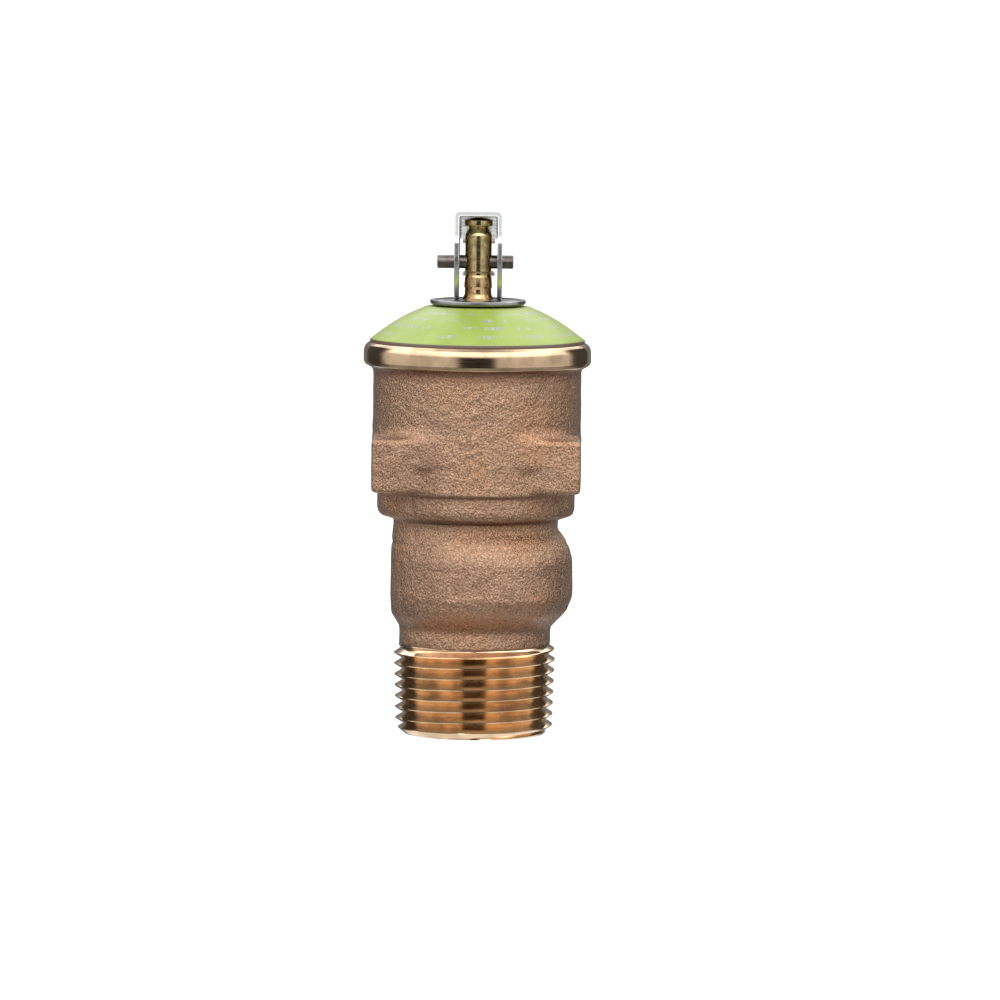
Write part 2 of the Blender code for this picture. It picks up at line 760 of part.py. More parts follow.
def make_lever(parts, tools, look):
    """A channel: a solid with the lever's side outline, hollowed from below, with a tab bent down behind."""
    knee_z = WEB_FRONT_Z - (WEB_KNEE_Y - WEB_FRONT_Y) * math.tan(WEB_FRONT_SLOPE)
    rear_slope = math.atan2(knee_z - WEB_REAR_Z, WEB_REAR_Y - WEB_KNEE_Y)
    rear_drop = LEVER_SHEET / math.cos(rear_slope)  # the sheet measured straight down
    top = [(WEB_REAR_Y, WEB_REAR_Z), (WEB_KNEE_Y, knee_z), (WEB_FRONT_Y, WEB_FRONT_Z)]
    feet = [tuple(point) for point in reversed(cam_outline())]
    rear = fillet([feet[-1], (HEEL_Y, -FOOT_DROP), REAR_HOLLOW, (WEB_REAR_Y, WEB_REAR_Z - 2 * rear_drop)])
    outline = top + [FRONT_CORNER] + feet + [tuple(point) for point in rear[1:]]
    lever = extruded("lever", outline, LEVER_WIDTH, parts, look)
    round_bends(lever)

    past = 8.0  # how far the channel's cutter reaches past the lever
    under = [
        (WEB_REAR_Y + past, WEB_REAR_Z - rear_drop - past * math.tan(rear_slope)),
        (WEB_KNEE_Y, knee_z - LEVER_SHEET),
        (WEB_FRONT_Y - past, WEB_FRONT_Z - LEVER_SHEET + past * math.tan(WEB_FRONT_SLOPE)),
        (WEB_FRONT_Y - past, -FOOT_DROP - past),
        (WEB_REAR_Y + past, -FOOT_DROP - past),
    ]
    channel = extruded("lever_channel", under, LEVER_WIDTH - 2 * LEVER_SHEET, tools)
    cut(lever, channel)

    overlap = 2.0  # of the tab on the web
    sink = 0.04  # the tab is this much thinner than the web on each face, so that no faces lie in one plane
    start = (WEB_REAR_Y - overlap, WEB_REAR_Z + overlap * math.tan(rear_slope) - sink)
    corner_z = WEB_REAR_Z - (TAB_Y - WEB_REAR_Y) * math.tan(rear_slope) - sink
    outer = fillet([start, (TAB_Y, corner_z, TAB_BEND_R + LEVER_SHEET), (TAB_Y, TAB_TIP_Z)])
    inner_y = TAB_Y - LEVER_SHEET
    inner_z = corner_z + LEVER_SHEET * math.tan(rear_slope) - rear_drop + 2 * sink
    inner_start = (start[0], start[1] - rear_drop + 2 * sink)
    inner = fillet([inner_start, (inner_y, inner_z, TAB_BEND_R), (inner_y, TAB_TIP_Z)])
    tab = extruded("lever_tab", [tuple(p) for p in outer + inner[::-1]], TAB_WIDTH, tools)
    join(lever, tab)
    notches = []
    notch_width = TAB_WIDTH - WAIST_WIDTH  # twice its depth, so that it reaches out past the tab
    size = (notch_width, 3 * LEVER_SHEET, WAIST_Z[1] - WAIST_Z[0])
    for side in (-1, 1):
        middle = (side * (WAIST_WIDTH + notch_width) / 2, TAB_Y - LEVER_SHEET / 2, sum(WAIST_Z) / 2)
        notches.append(box(f"tab_notch_{len(notches) + 1}", size, middle, tools))
    cut(lever, *notches)

    past = 6.0
    hole = rod("lever_hole", PIN_R + PIN_CLEARANCE, (-past, 0, 0), (past, 0, 0), tools)
    cut(lever, hole)
    return lever, [channel, tab, *notches, hole]


def make_bonnet(parts, look):
    drop = BONNET_SHEET / math.cos(CONE_ANGLE)  # the sheet measured straight down
    wall_r = LIP_R - 0.4
    return turned(
        "bonnet",
        [
            (FLANGE_R, FLANGE_BOTTOM_Z),
            (FLANGE_R, FLANGE_TOP_Z),
            (wall_r, FLANGE_TOP_Z),
            (wall_r, BONNET_EDGE_Z),
            (HUB_WALL_R + 0.4, BONNET_TOP_Z),
            (SCREW_R + 0.2, BONNET_TOP_Z),
            (SCREW_R + 0.2, HUB_BOTTOM_Z),
            (HUB_WALL_R, HUB_BOTTOM_Z),
            (HUB_WALL_R, BONNET_TOP_Z + 0.28 - drop),
            (wall_r - BONNET_SHEET, BONNET_EDGE_Z + 0.8 - drop),
            (wall_r - BONNET_SHEET, FLANGE_BOTTOM_Z),
        ],
        parts,
        look,
        sides=BODY_SIDES,
    )


def make_top_group(parts, looks):
    """What closes the body: gasket, adjusting screw, its button, stem seal, nameplate and lever plate."""
    inner_r, low, high = CHAMBER_R + GAP, GASKET_BOTTOM_Z, GASKET_TOP_Z
    gasket = turned(
        "bonnet_gasket",
        [(inner_r, low), (FLANGE_R, low), (FLANGE_R, high), (inner_r, high)],
        parts,
        looks["gasket"],
        sides=BODY_SIDES,
    )
    screw = turned(
        "adjusting_screw",
        [
            (STEM_BORE_R, SCREW_BOTTOM_Z),
            (SCREW_R - 0.5, SCREW_BOTTOM_Z),
            (SCREW_R, SCREW_BOTTOM_Z + 0.5),
            (SCREW_R, BONNET_TOP_Z - 0.1),
            (SEAL_POCKET_R, BONNET_TOP_Z - 0.1),
            (SEAL_POCKET_R, SEAL_POCKET_Z),
            (STEM_BORE_R, SEAL_POCKET_Z),
        ],
        parts,
        looks["brass"],
    )
    bore_r, pilot_r = STEM_BORE_R + 0.25, COIL_R - WIRE_R - GAP  # the pilot stands inside the coil
    pilot_z, top_z = UPPER_BUTTON_Z - 1.6, UPPER_BUTTON_Z + 1.7
    button = turned(
        "upper_spring_button",
        [
            (bore_r, pilot_z),
            (pilot_r - 0.35, pilot_z),
            (pilot_r - 0.05, UPPER_BUTTON_Z),
            (BUTTON_R, UPPER_BUTTON_Z),
            (BUTTON_R, top_z),
            (bore_r, top_z),
        ],
        parts,
        looks["steel"],
    )
    section = []
    for step in range(8):
        angle = math.tau * step / 8
        section.append((SEAL_R + SEAL_WIRE_R * math.cos(angle), SEAL_Z + SEAL_WIRE_R * math.sin(angle)))
    seal = turned("stem_seal", section, parts, looks["rubber"])
    drop = SHEET / math.cos(CONE_ANGLE)
    cone = []
    for step in range(4):
        share = step / 3
        swell = PLATE_FULLNESS * math.sin(math.pi * share)
        z = PLATE_EDGE_Z + (PLATE_TOP_Z - 0.05 - PLATE_EDGE_Z) * share + swell
        cone.append((PLATE_EDGE_R + (PLATE_FLAT_R - PLATE_EDGE_R) * share, z))
    nameplate = turned(
        "nameplate",
        [
            *cone,
            (PLATE_FLAT_R - 0.5, PLATE_TOP_Z),
            (PLATE_HOLE_R, PLATE_TOP_Z),
            (PLATE_HOLE_R, PLATE_TOP_Z - SHEET),
            (PLATE_FLAT_R - 0.5, PLATE_TOP_Z - SHEET),
            *((r, z - drop) for r, z in reversed(cone[1:-1])),
            (PLATE_EDGE_R - 0.1, PLATE_EDGE_Z - drop + 0.25),
        ],
        parts,
        looks["green"],
        sides=BODY_SIDES,
    )
    plate = turned(
        "lever_plate",
        [
            (STEM_BORE_R, LEVER_PLATE_BOTTOM_Z),
            (LEVER_PLATE_R - 0.25, LEVER_PLATE_BOTTOM_Z),
            (LEVER_PLATE_R, LEVER_PLATE_BOTTOM_Z + 0.25),
            (LEVER_PLATE_R, LEVER_PLATE_TOP_Z - 0.1),
            (LEVER_PLATE_R - 0.1, LEVER_PLATE_TOP_Z),
            (LEVER_PLATE_R - 0.75, LEVER_PLATE_TOP_Z),
            (LEVER_PLATE_R - 1.0, BEARING_Z),
            (STEM_BORE_R, BEARING_Z),
        ],
        parts,
        looks["zinc"],
        sides=BODY_SIDES,
    )
    return [gasket, screw, button, seal, nameplate, plate]


def empty(name, z, collection, parent=None):
    made = bpy.data.objects.new(name, None)
    made.empty_display_size = 5 * MM
    made.location.z = z * MM
    made.parent = parent
    collection.objects.link(made)
    return made


def main():
    for old in list(bpy.data.objects):
        bpy.data.objects.remove(old)
    parts = new_collection("pressure_relief_valve")
    tools = new_collection("cutters")
    looks = {
        "bronze": material("cast_bronze", (0.32, 0.19, 0.11), 0.85, 0.5),
        "brass": material("brass", (0.50, 0.34, 0.13), 1.0, 0.28),
        "steel": material("stainless_steel", (0.55, 0.55, 0.53), 1.0, 0.3),
        "zinc": material("zinc_plate", (0.62, 0.63, 0.64), 1.0, 0.22),
        "pin": material("pin_steel", (0.26, 0.23, 0.19), 1.0, 0.4),
        "green": material("green_paint", (0.45, 0.66, 0.10), 0.0, 0.4),
        "rubber": material("rubber", (0.03, 0.03, 0.03), 0.0, 0.7),
        "gasket": material("gasket_fibre", (0.20, 0.16, 0.12), 0.0, 0.85),
    }
    make_body(parts, tools, looks["bronze"])
    make_seat_ring(parts, looks["steel"])
    make_bonnet(parts, looks["steel"])
    make_top_group(parts, looks)

    stem_group = empty("stem_axis", 0, parts)
    poppet_group = empty("poppet_axis", 0, parts, stem_group)
    pivot = empty("lever_pivot", PIN_Z, parts, stem_group)
    stem = make_stem(parts, tools, looks["brass"])
    clip = make_clip(parts, tools, looks["steel"])
    outer_r, (low, high) = THRUST_WASHER_R, THRUST_WASHER_Z
    section = [(STEM_BORE_R, low), (outer_r, low), (outer_r, high), (STEM_BORE_R, high)]
    washer = turned("stem_washer", section, parts, looks["steel"])
    half = PIN_LENGTH / 2
    pin = rod(
        "lever_pin",
        PIN_R,
        (PIN_SHIFT - half, 0, PIN_Z),
        (PIN_SHIFT + half, 0, PIN_Z),
        parts,
        looks["pin"],
        bevel=0.15,
    )
    for piece in (stem, clip, washer, pin):
        piece.parent = stem_group
    poppet = make_poppet(parts, tools, looks)
    for piece in (*poppet, make_spring(parts, looks["steel"])):
        piece.parent = poppet_group
    lever, lever_tools = make_lever(parts, tools, looks["zinc"])
    for piece in (lever, *lever_tools):
        piece.parent = pivot
    for piece in parts.objects:
        if piece.type == "MESH":
            smooth(piece)


main()
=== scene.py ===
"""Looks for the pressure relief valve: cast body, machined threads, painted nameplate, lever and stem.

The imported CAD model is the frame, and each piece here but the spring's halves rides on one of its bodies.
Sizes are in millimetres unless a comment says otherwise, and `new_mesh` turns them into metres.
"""

import json
import math

import bmesh
import bpy
import numpy as np
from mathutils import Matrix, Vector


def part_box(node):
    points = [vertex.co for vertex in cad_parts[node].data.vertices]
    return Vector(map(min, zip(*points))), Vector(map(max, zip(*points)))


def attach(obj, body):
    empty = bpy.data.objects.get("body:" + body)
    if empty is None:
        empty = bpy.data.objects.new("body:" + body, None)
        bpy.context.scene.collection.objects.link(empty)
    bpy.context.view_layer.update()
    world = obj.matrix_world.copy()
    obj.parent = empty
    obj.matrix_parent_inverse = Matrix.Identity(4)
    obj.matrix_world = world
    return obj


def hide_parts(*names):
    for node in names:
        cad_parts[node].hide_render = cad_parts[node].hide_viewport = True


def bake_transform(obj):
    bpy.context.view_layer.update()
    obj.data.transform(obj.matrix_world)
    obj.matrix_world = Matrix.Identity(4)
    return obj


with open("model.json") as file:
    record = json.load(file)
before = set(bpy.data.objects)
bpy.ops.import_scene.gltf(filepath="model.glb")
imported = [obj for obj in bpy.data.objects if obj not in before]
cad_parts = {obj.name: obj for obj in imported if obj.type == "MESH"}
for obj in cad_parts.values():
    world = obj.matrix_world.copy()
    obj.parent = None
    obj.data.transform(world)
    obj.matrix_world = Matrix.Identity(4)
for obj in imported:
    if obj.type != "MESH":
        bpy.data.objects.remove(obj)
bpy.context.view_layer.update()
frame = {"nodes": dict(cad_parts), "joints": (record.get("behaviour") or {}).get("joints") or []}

import openvdb
from mathutils import Matrix, Quaternion, Vector

MM = 0.001  # metres in a millimetre


def node_box(name):
    """The corners of a CAD node at rest, in millimetres."""
    low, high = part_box(name)
    return low / MM, high / MM


BODY_HIGH = node_box("valve_body")[1]
PLATE_LOW, PLATE_HIGH = node_box("nameplate")
WASHER_LOW, WASHER_HIGH = node_box("lever_plate")
STEM_LOW = node_box("stem")[0]
LEVER_LOW, LEVER_HIGH = node_box("lever")
PIN_LOW, PIN_HIGH = node_box("lever_pin")
SPRING_LOW, SPRING_HIGH = node_box("pressure_spring")
HOLDER_LOW, HOLDER_HIGH = node_box("disc_holder")
BUTTON_LOW, BUTTON_HIGH = node_box("lower_spring_button")
PIN_Z = next(joint["pos_m"][2] for joint in frame["joints"] if joint["type"] == "hinge") / MM

# Inlet thread: three-quarter inch taper, right-handed
PITCH = 1.8143
THREAD_LENGTH = 15.0
TAPER = 1 / 32  # growth of the radius for each unit of length
THREAD_DEPTH = 1.4
CREST_R = 13.015  # at the end face
CREST_HALF = 0.035  # half of the crest's flat, as a share of the pitch
RUN_OUT = 1.7  # length over which the thread fades away at its top
INLET_FACE_R = 11.6
INLET_BORE_R = 9.2
CREST_SHARE = 0.86  # where the crest stands along the pitch, straight out along +X
THREAD_SIDES = 160

# Body
LOWER_NECK_R = 12.6
UPPER_NECK_R = 13.65
BULGE = ((15.4, 20.6, 3.0), (16.4, 23.0, 3.0), (16.4, 29.4, 3.0), (15.6, 32.0, 3.0))  # its fullest side
BULGE_LOW_R = 13.8
BULGE_TURN = math.radians(-35)
BULGE_BOTTOM_Z = 17.9
BULGE_TOP_Z = 34.2
CREASE_Z = 31.9  # a shallow crease across the bulge's shoulder
RING_R = 16.4
RING_BOTTOM_Z = 35.8
BARREL_R = 17.3
BARREL_BOTTOM_Z = 40.3
RIM_R = BODY_HIGH.x
RIM_BOTTOM_Z = 61.75
RIM_TOP_Z = BODY_HIGH.z + 0.15
LIP_R = 15.3
BLOCK_X = 34.5
BLOCK_Y = 30.0
BLOCK_BOTTOM_Z = 41.0
BLOCK_TOP_Z = 49.9
OUTLET_Z = 46.5
OUTLET_FACE_Y = BODY_HIGH.y
BOSS_R = 16.0
BEAD_R = 16.6
BEAD_LENGTH = 5.0
SOCKET_DEPTH = 14.0
SOCKET_CREST_R = 12.35  # of the outlet's female thread, at its face
SOCKET_THREAD_DEPTH = 1.25
SOCKET_WALL_R = 13.7  # of the hole in the casting that the thread stands in
PORT_R = 10.4
PORT_START_Y = 8.0  # inside the discharge chamber
INLET_CHAMBER_R = 11.2
SEAT_PORT_R = 8.4
SEAT_POCKET_R = 9.85
SEAT_POCKET_Z = 33.0
CHAMBER_R = 14.2
CHAMBER_FLOOR_R = 11.4
CHAMBER_FLOOR_Z = 35.2
BONNET_SEAT_R = 16.3
BONNET_SEAT_Z = 61.6
VOXEL = 0.25  # of the grid that the casting is meshed from


# ---------------------------------------------------------------- outlines and meshes


def fillet(points):
    """The outline through points (a, b) or (a, b, radius), each corner with a radius turned into an arc."""
    steps = 6  # of an arc
    outline = []
    for index, point in enumerate(points):
        corner = Vector(point[:2])
        radius = point[2] if len(point) > 2 else 0.0
        if not radius:
            outline.append(tuple(corner))
            continue
        before = (Vector(points[index - 1][:2]) - corner).normalized()
        after = (Vector(points[(index + 1) % len(points)][:2]) - corner).normalized()
        half = before.angle(after) / 2
        centre = corner + (before + after).normalized() * radius / math.sin(half)
        start = corner + before * radius / math.tan(half) - centre
        end = corner + after * radius / math.tan(half) - centre
        turn = start.angle_signed(end)
        for step in range(steps + 1):
            outline.append(tuple(centre + Matrix.Rotation(-turn * step / steps, 2) @ start))
    return outline


def new_object(name, data):
    """An object linked into the scene."""
    made = bpy.data.objects.new(name, data)
    bpy.context.scene.collection.objects.link(made)
    return made


def new_mesh(name, points, faces, look):
    """An object from points in millimetres."""
    mesh = bpy.data.meshes.new(name)
    mesh.from_pydata((np.asarray(points, float) * MM).tolist(), [], faces)
    mesh.materials.append(look)
    return new_object(name, mesh)


def mesh_piece(name, points, faces, look, smooth_degrees=35):
    """A closed shape with its normals turned outward, smooth up to this angle between faces."""
    made = new_mesh(name, points, faces, look)
    made.data.validate()
    made.data.shade_smooth()
    made.data.set_sharp_from_angle(angle=math.radians(smooth_degrees))
    tidy_mesh(made)
    return made


def ring_faces(rows, sides, closed=True):
    """Quads between successive rows of the same number of points."""
    faces = []
    for row in range(rows - 1):
        for side in range(sides if closed else sides - 1):
            following = (side + 1) % sides
            a, b = row * sides + side, row * sides + following
            faces.append((a, b, b + sides, a + sides))
    return faces


def turned(name, profile, look, sides=128, smooth_degrees=35):
    """The closed outline (r, z), with the outside running upwards, turned about the axis."""
    angles = np.arange(sides) * math.tau / sides
    points = []
    for r, z in profile + profile[:1]:
        points += [(r * math.cos(a), r * math.sin(a), z) for a in angles]
    return mesh_piece(name, points, ring_faces(len(profile) + 1, sides), look, smooth_degrees)


def tidy_mesh(made):
    """Merges the points that lie together, drops the faces left empty and turns the rest outward."""
    distance = 0.002 * MM
    bm = bmesh.new()
    bm.from_mesh(made.data)
    bmesh.ops.remove_doubles(bm, verts=bm.verts, dist=distance)
    bmesh.ops.dissolve_degenerate(bm, edges=bm.edges, dist=distance / 4)
    bmesh.ops.recalc_face_normals(bm, faces=bm.faces)
    bm.to_mesh(made.data)
    bm.free()


def ease(low, high, value):
    """Climbs smoothly from 0 at low to 1 at high."""
    share = np.clip((value - low) / (high - low), 0.0, 1.0)
    return share * share * (3 - 2 * share)


# ---------------------------------------------------------------- distance fields


def outline_distance(outline, a, b):
    """Signed distance from each point (a, b) to the closed outline, negative inside."""
    nearest = np.full(np.broadcast(a, b).shape, 1e9)
    inside = np.zeros(nearest.shape, bool)
    for (a0, b0), (a1, b1) in zip(outline, outline[1:] + outline[:1]):
        da, db = a1 - a0, b1 - b0
        length = max(da * da + db * db, 1e-12)
        share = np.clip(((a - a0) * da + (b - b0) * db) / length, 0, 1)
        nearest = np.minimum(nearest, (a - a0 - share * da) ** 2 + (b - b0 - share * db) ** 2)
        crosses = (b0 > b) != (b1 > b)
        inside ^= crosses & (a < a0 + (b - b0) * da / (db if abs(db) > 1e-12 else 1e-12))
    return np.where(inside, -1.0, 1.0) * np.sqrt(nearest)


def turned_distance(outline, radii, heights):
    """Distance to a turned solid on a grid: radii over two of its directions, and heights along the axis."""
    step = 0.1  # of the table that the grid is read from
    table_r = np.arange(0.0, radii.max() + 0.3, step)
    table = outline_distance(outline, table_r[:, None], heights[None, :]).astype(np.float32)
    place = radii / step
    index = np.minimum(place.astype(int), len(table_r) - 2)
    share = (place - index)[..., None].astype(np.float32)
    return table[index] * (1 - share) + table[index + 1] * share


def joined(a, b, blend):
    """The union of two solids, with a fillet about as wide as blend where they meet."""
    h = np.clip(0.5 + 0.5 * (b - a) / blend, 0, 1)
    return b * (1 - h) + a * h - blend * h * (1 - h)


def without(a, b, blend):
    """Solid a with b cut out of it, and the edge of the cut rounded."""
    return -joined(-a, b, blend)


def rounded_box_distance(x, y, z, low, high, radius):
    """Distance to the box between two corners, with its edges rounded."""
    centre = (np.array(low) + np.array(high)) / 2
    half = (np.array(high) - np.array(low)) / 2 - radius
    q = [np.abs(v - c) - h for v, c, h in zip((x, y, z), centre, half)]
    outside = np.sqrt(sum(np.maximum(v, 0) ** 2 for v in q))
    return outside + np.minimum(np.maximum(np.maximum(q[0], q[1]), q[2]), 0) - radius


def grid_lines(low, high, voxel):
    """Where a grid's points stand along X, Y and Z."""
    return (np.arange(start, end, voxel) for start, end in zip(low, high))


def field_mesh(name, field, origin, voxel, look):
    """The surface where the field is zero, as a closed mesh."""
    grid = openvdb.FloatGrid(float(field.max()))
    grid.copyFromArray(np.ascontiguousarray(field, np.float32))
    points, triangles, quads = grid.convertToPolygons(isovalue=0.0, adaptivity=0.0)
    faces = [tuple(reversed(face)) for face in quads.tolist() + triangles.tolist()]
    made = new_mesh(name, points * voxel + np.array(origin), faces, look)
    made.data.shade_smooth()
    return made


def lumps(points, size, seed):
    """Smooth noise between -1 and 1 at each point, its lumps about as large as size."""
    period = 32
    lattice = np.random.default_rng(seed).uniform(-1, 1, (period, period, period))
    place = points / size + 1000.0  # far enough along to be positive
    cell = np.floor(place).astype(int)
    share = ease(0.0, 1.0, place - cell)
    total = np.zeros(len(points))
    for corner in np.ndindex(2, 2, 2):
        weight = np.prod([share[:, i] if c else 1 - share[:, i] for i, c in enumerate(corner)], axis=0)
        i, j, k = ((cell[:, n] + corner[n]) % period for n in range(3))
        total += weight * lattice[i, j, k]
    return total


# ---------------------------------------------------------------- materials


def connect(tree, socket, value):
    """Feeds an input from another node's output, or sets it to a plain value."""
    if isinstance(value, bpy.types.NodeSocket):
        tree.links.new(value, socket)
    else:
        socket.default_value = value


def add(tree, kind, inputs=None, **settings):
    """A shader node with its settings and inputs."""
    made = tree.nodes.new("ShaderNode" + kind)
    for name, value in settings.items():
        setattr(made, name, value)
    for name, value in (inputs or {}).items():
        connect(tree, made.inputs[name], value)
    return made


def new_material(name, colour, metallic, roughness):
    """A material with one Principled shader, and that shader, ready for its textures."""
    made = bpy.data.materials.new(name)
    made.use_nodes = True
    shader = made.node_tree.nodes["Principled BSDF"]
    shader.inputs["Base Color"].default_value = (*colour, 1.0)
    shader.inputs["Metallic"].default_value = metallic
    shader.inputs["Roughness"].default_value = roughness
    made.diffuse_color = (*colour, 1.0)
    return made, made.node_tree, shader


def object_place(tree, scale=(1.0, 1.0, 1.0)):
    """Coordinates in millimetres on the object, stretched by scale."""
    place = add(tree, "TexCoord").outputs["Object"]
    stretch = tuple(s / MM for s in scale)
    return add(tree, "Mapping", {"Vector": place, "Scale": stretch}).outputs["Vector"]


def parts_of(tree, vector):
    """The X, Y and Z of a vector."""
    outputs = add(tree, "SeparateXYZ", {"Vector": vector}).outputs
    return outputs["X"], outputs["Y"], outputs["Z"]


def vector_of(tree, x, y, z=0.0):
    """The vector with these parts."""
    return add(tree, "CombineXYZ", {"X": x, "Y": y, "Z": z}).outputs["Vector"]


def noise(tree, vector, scale, detail=2.0, roughness=0.5):
    values = {"Vector": vector, "Scale": scale, "Detail": detail, "Roughness": roughness}
    return add(tree, "TexNoise", values).outputs["Fac"]


def ramp(tree, factor, stops):
    """A colour ramp through stops of (position, colour)."""
    made = add(tree, "ValToRGB", {"Fac": factor})
    elements = made.color_ramp.elements
    while len(elements) < len(stops):
        elements.new(0.5)
    for element, (position, colour) in zip(elements, stops):
        element.position = position
        element.color = (*colour, 1.0)
    return made.outputs["Color"]


def grey(value):
    return (value, value, value)


def grey_ramp(tree, factor, *stops):
    """A ramp through greys, each stop a (position, brightness)."""
    return ramp(tree, factor, [(position, grey(value)) for position, value in stops])


def mix(tree, factor, first, second, blend="MIX"):
    """Two colours, blended by the factor."""
    made = add(tree, "Mix", data_type="RGBA", blend_type=blend)
    connect(tree, next(socket for socket in made.inputs if socket.name == "Factor"), factor)
    colour_inputs = [socket for socket in made.inputs if socket.type == "RGBA"]
    for socket, value in zip(colour_inputs, (first, second)):
        connect(tree, socket, value if isinstance(value, bpy.types.NodeSocket) else (*value, 1.0))
    return next(socket for socket in made.outputs if socket.type == "RGBA")


def maths(tree, operation, *values):
    """The result of a Math node."""
    made = add(tree, "Math", operation=operation)
    for socket, value in zip(made.inputs, values):
        connect(tree, socket, value)
    return made.outputs[0]


def product(tree, first, second):
    return maths(tree, "MULTIPLY", first, second)


def between(tree, value, low, high):
    """1 where the value lies between the two limits, and 0 elsewhere."""
    return product(tree, maths(tree, "GREATER_THAN", value, low), maths(tree, "LESS_THAN", value, high))


def distance_from_axis(tree, across, along):
    """How far a point lies from an axis, from its two offsets."""
    squares = (product(tree, part, part) for part in (across, along))
    return maths(tree, "SQRT", maths(tree, "ADD", *squares))


def height_share(tree):
    """Height above the origin as a share of 100 mm, for a ramp."""
    return maths(tree, "DIVIDE", parts_of(tree, object_place(tree))[2], 100.0)


def stained(tree, texture, dark_to, plain_from, colour, darkness):
    """The colour, darkened where the texture is below dark_to, and plain where it is above plain_from."""
    dark = tuple(part * darkness for part in colour)
    return mix(tree, grey_ramp(tree, texture, (dark_to, 1.0), (plain_from, 0.0)), colour, dark)


def finish(tree, shader, colour, roughness, *heights):
    """Gives the shader its colour, its roughness and bumps, each a (height, depth in millimetres)."""
    connect(tree, shader.inputs["Base Color"], colour)
    connect(tree, shader.inputs["Roughness"], roughness)
    normal = None
    for height, depth in heights:
        values = {"Height": height, "Strength": 1.0, "Distance": depth * MM}
        if normal:
            values["Normal"] = normal
        normal = add(tree, "Bump", values).outputs["Normal"]
    tree.links.new(normal, shader.inputs["Normal"])


def cast_bronze():
    """Sand-cast bronze: a fine wrinkled grain that sparkles, on patches that are redder or darker, and a
    painted shade below the machined rim.
    """
    made, tree, shader = new_material("cast_bronze", (0.48, 0.31, 0.20), 1.0, 0.18)
    place = object_place(tree)
    leaning = add(tree, "Mapping", {"Vector": place, "Rotation": (0.5, 0.9, 0.4), "Scale": (1.0, 1.0, 0.7)})
    grain = noise(tree, leaning.outputs["Vector"], 4.0, 3.0, 0.65)
    coarse = noise(tree, place, 0.9)
    patches = noise(tree, place, 0.10)
    brown, plain, red = (0.36, 0.222, 0.147), (0.42, 0.267, 0.175), (0.44, 0.255, 0.15)
    tone = ramp(tree, patches, [(0.35, brown), (0.5, plain), (0.68, red)])
    worn = ramp(tree, grain, [(0.34, (0.70, 0.61, 0.54)), (0.5, grey(1.0)), (0.66, (1.18, 1.21, 1.23))])
    # painted shade: a dark band on the casting just below the machined rim, standing in for the rim's shadow
    painted_rim_shade = grey_ramp(tree, height_share(tree), (0.590, 0.0), (0.598, 0.75))  # dark below the machined rim
    colour = mix(tree, painted_rim_shade, mix(tree, 1.0, tone, worn, "MULTIPLY"), (0.30, 0.165, 0.105))
    shine = grey_ramp(tree, grain, (0.3, 0.22), (0.7, 0.12))
    finish(tree, shader, colour, shine, (coarse, 0.20), (grain, 0.26))
    return made


def machined_bronze(name, colour, roughness, marks, outlet=False):
    """Turned bronze: fine marks round its axis, or round the outlet's, and a few darker stains."""
    made, tree, shader = new_material(name, colour, 1.0, roughness)
    if outlet:
        x, y, z = parts_of(tree, object_place(tree))
        radius = distance_from_axis(tree, x, maths(tree, "SUBTRACT", z, OUTLET_Z))
        rings = noise(tree, vector_of(tree, radius, y), 5.0)
    else:
        rings = noise(tree, object_place(tree, (0.02, 0.02, 1.0)), 9.0)
    base = stained(tree, noise(tree, object_place(tree), 0.25, 3.0), 0.35, 0.55, colour, 0.72)
    shine = grey_ramp(tree, rings, (0.3, roughness * 1.25), (0.7, roughness * 0.8))
    finish(tree, shader, base, shine, (rings, marks))
    return made


def turned_metal(name, colour, roughness, marks=0.004, darkness=0.85):
    """A bright turned metal, with marks that run round it."""
    made, tree, shader = new_material(name, colour, 1.0, roughness)
    rings = noise(tree, object_place(tree, (0.05, 0.05, 1.0)), 8.0)
    base = stained(tree, noise(tree, object_place(tree), 0.8, 3.0), 0.4, 0.6, colour, darkness)
    shine = grey_ramp(tree, rings, (0.3, roughness * 1.3), (0.7, roughness * 0.8))
    finish(tree, shader, base, shine, (rings, marks))
    return made


def stem_brass():
    """Turned brass, golden at the top and more coppery below the pin, with faint marks round it."""
    made, tree, shader = new_material("stem_brass", (0.70, 0.52, 0.25), 1.0, 0.17)
    rings = noise(tree, object_place(tree, (0.05, 0.05, 1.0)), 5.0)
    stains = noise(tree, object_place(tree), 1.1, 3.0)
    coppery, plain, golden = (0.78, 0.54, 0.29), (0.80, 0.60, 0.30), (0.82, 0.65, 0.33)
    colour = ramp(tree, height_share(tree), [(0.760, coppery), (0.768, plain), (0.83, golden)])
    dark = mix(tree, 1.0, colour, (0.55, 0.50, 0.45), "MULTIPLY")
    base = mix(tree, grey_ramp(tree, stains, (0.38, 0.8), (0.56, 0.0)), colour, dark)
    finish(tree, shader, base, grey_ramp(tree, rings, (0.3, 0.22), (0.7, 0.13)), (rings, 0.002))
    return made


def plated_steel(name, colour, roughness):
    """Zinc-plated sheet: faint cloudy spangles and small dents."""
    made, tree, shader = new_material(name, colour, 1.0, roughness)
    place = object_place(tree)
    clouds = noise(tree, place, 0.6, 3.0)
    fine = noise(tree, place, 6.0)
    base = stained(tree, clouds, 0.35, 0.6, colour, 0.8)
    shine = grey_ramp(tree, clouds, (0.3, roughness * 1.4), (0.7, roughness * 0.8))
    finish(tree, shader, base, shine, (fine, 0.006), (clouds, 0.03))
    return made


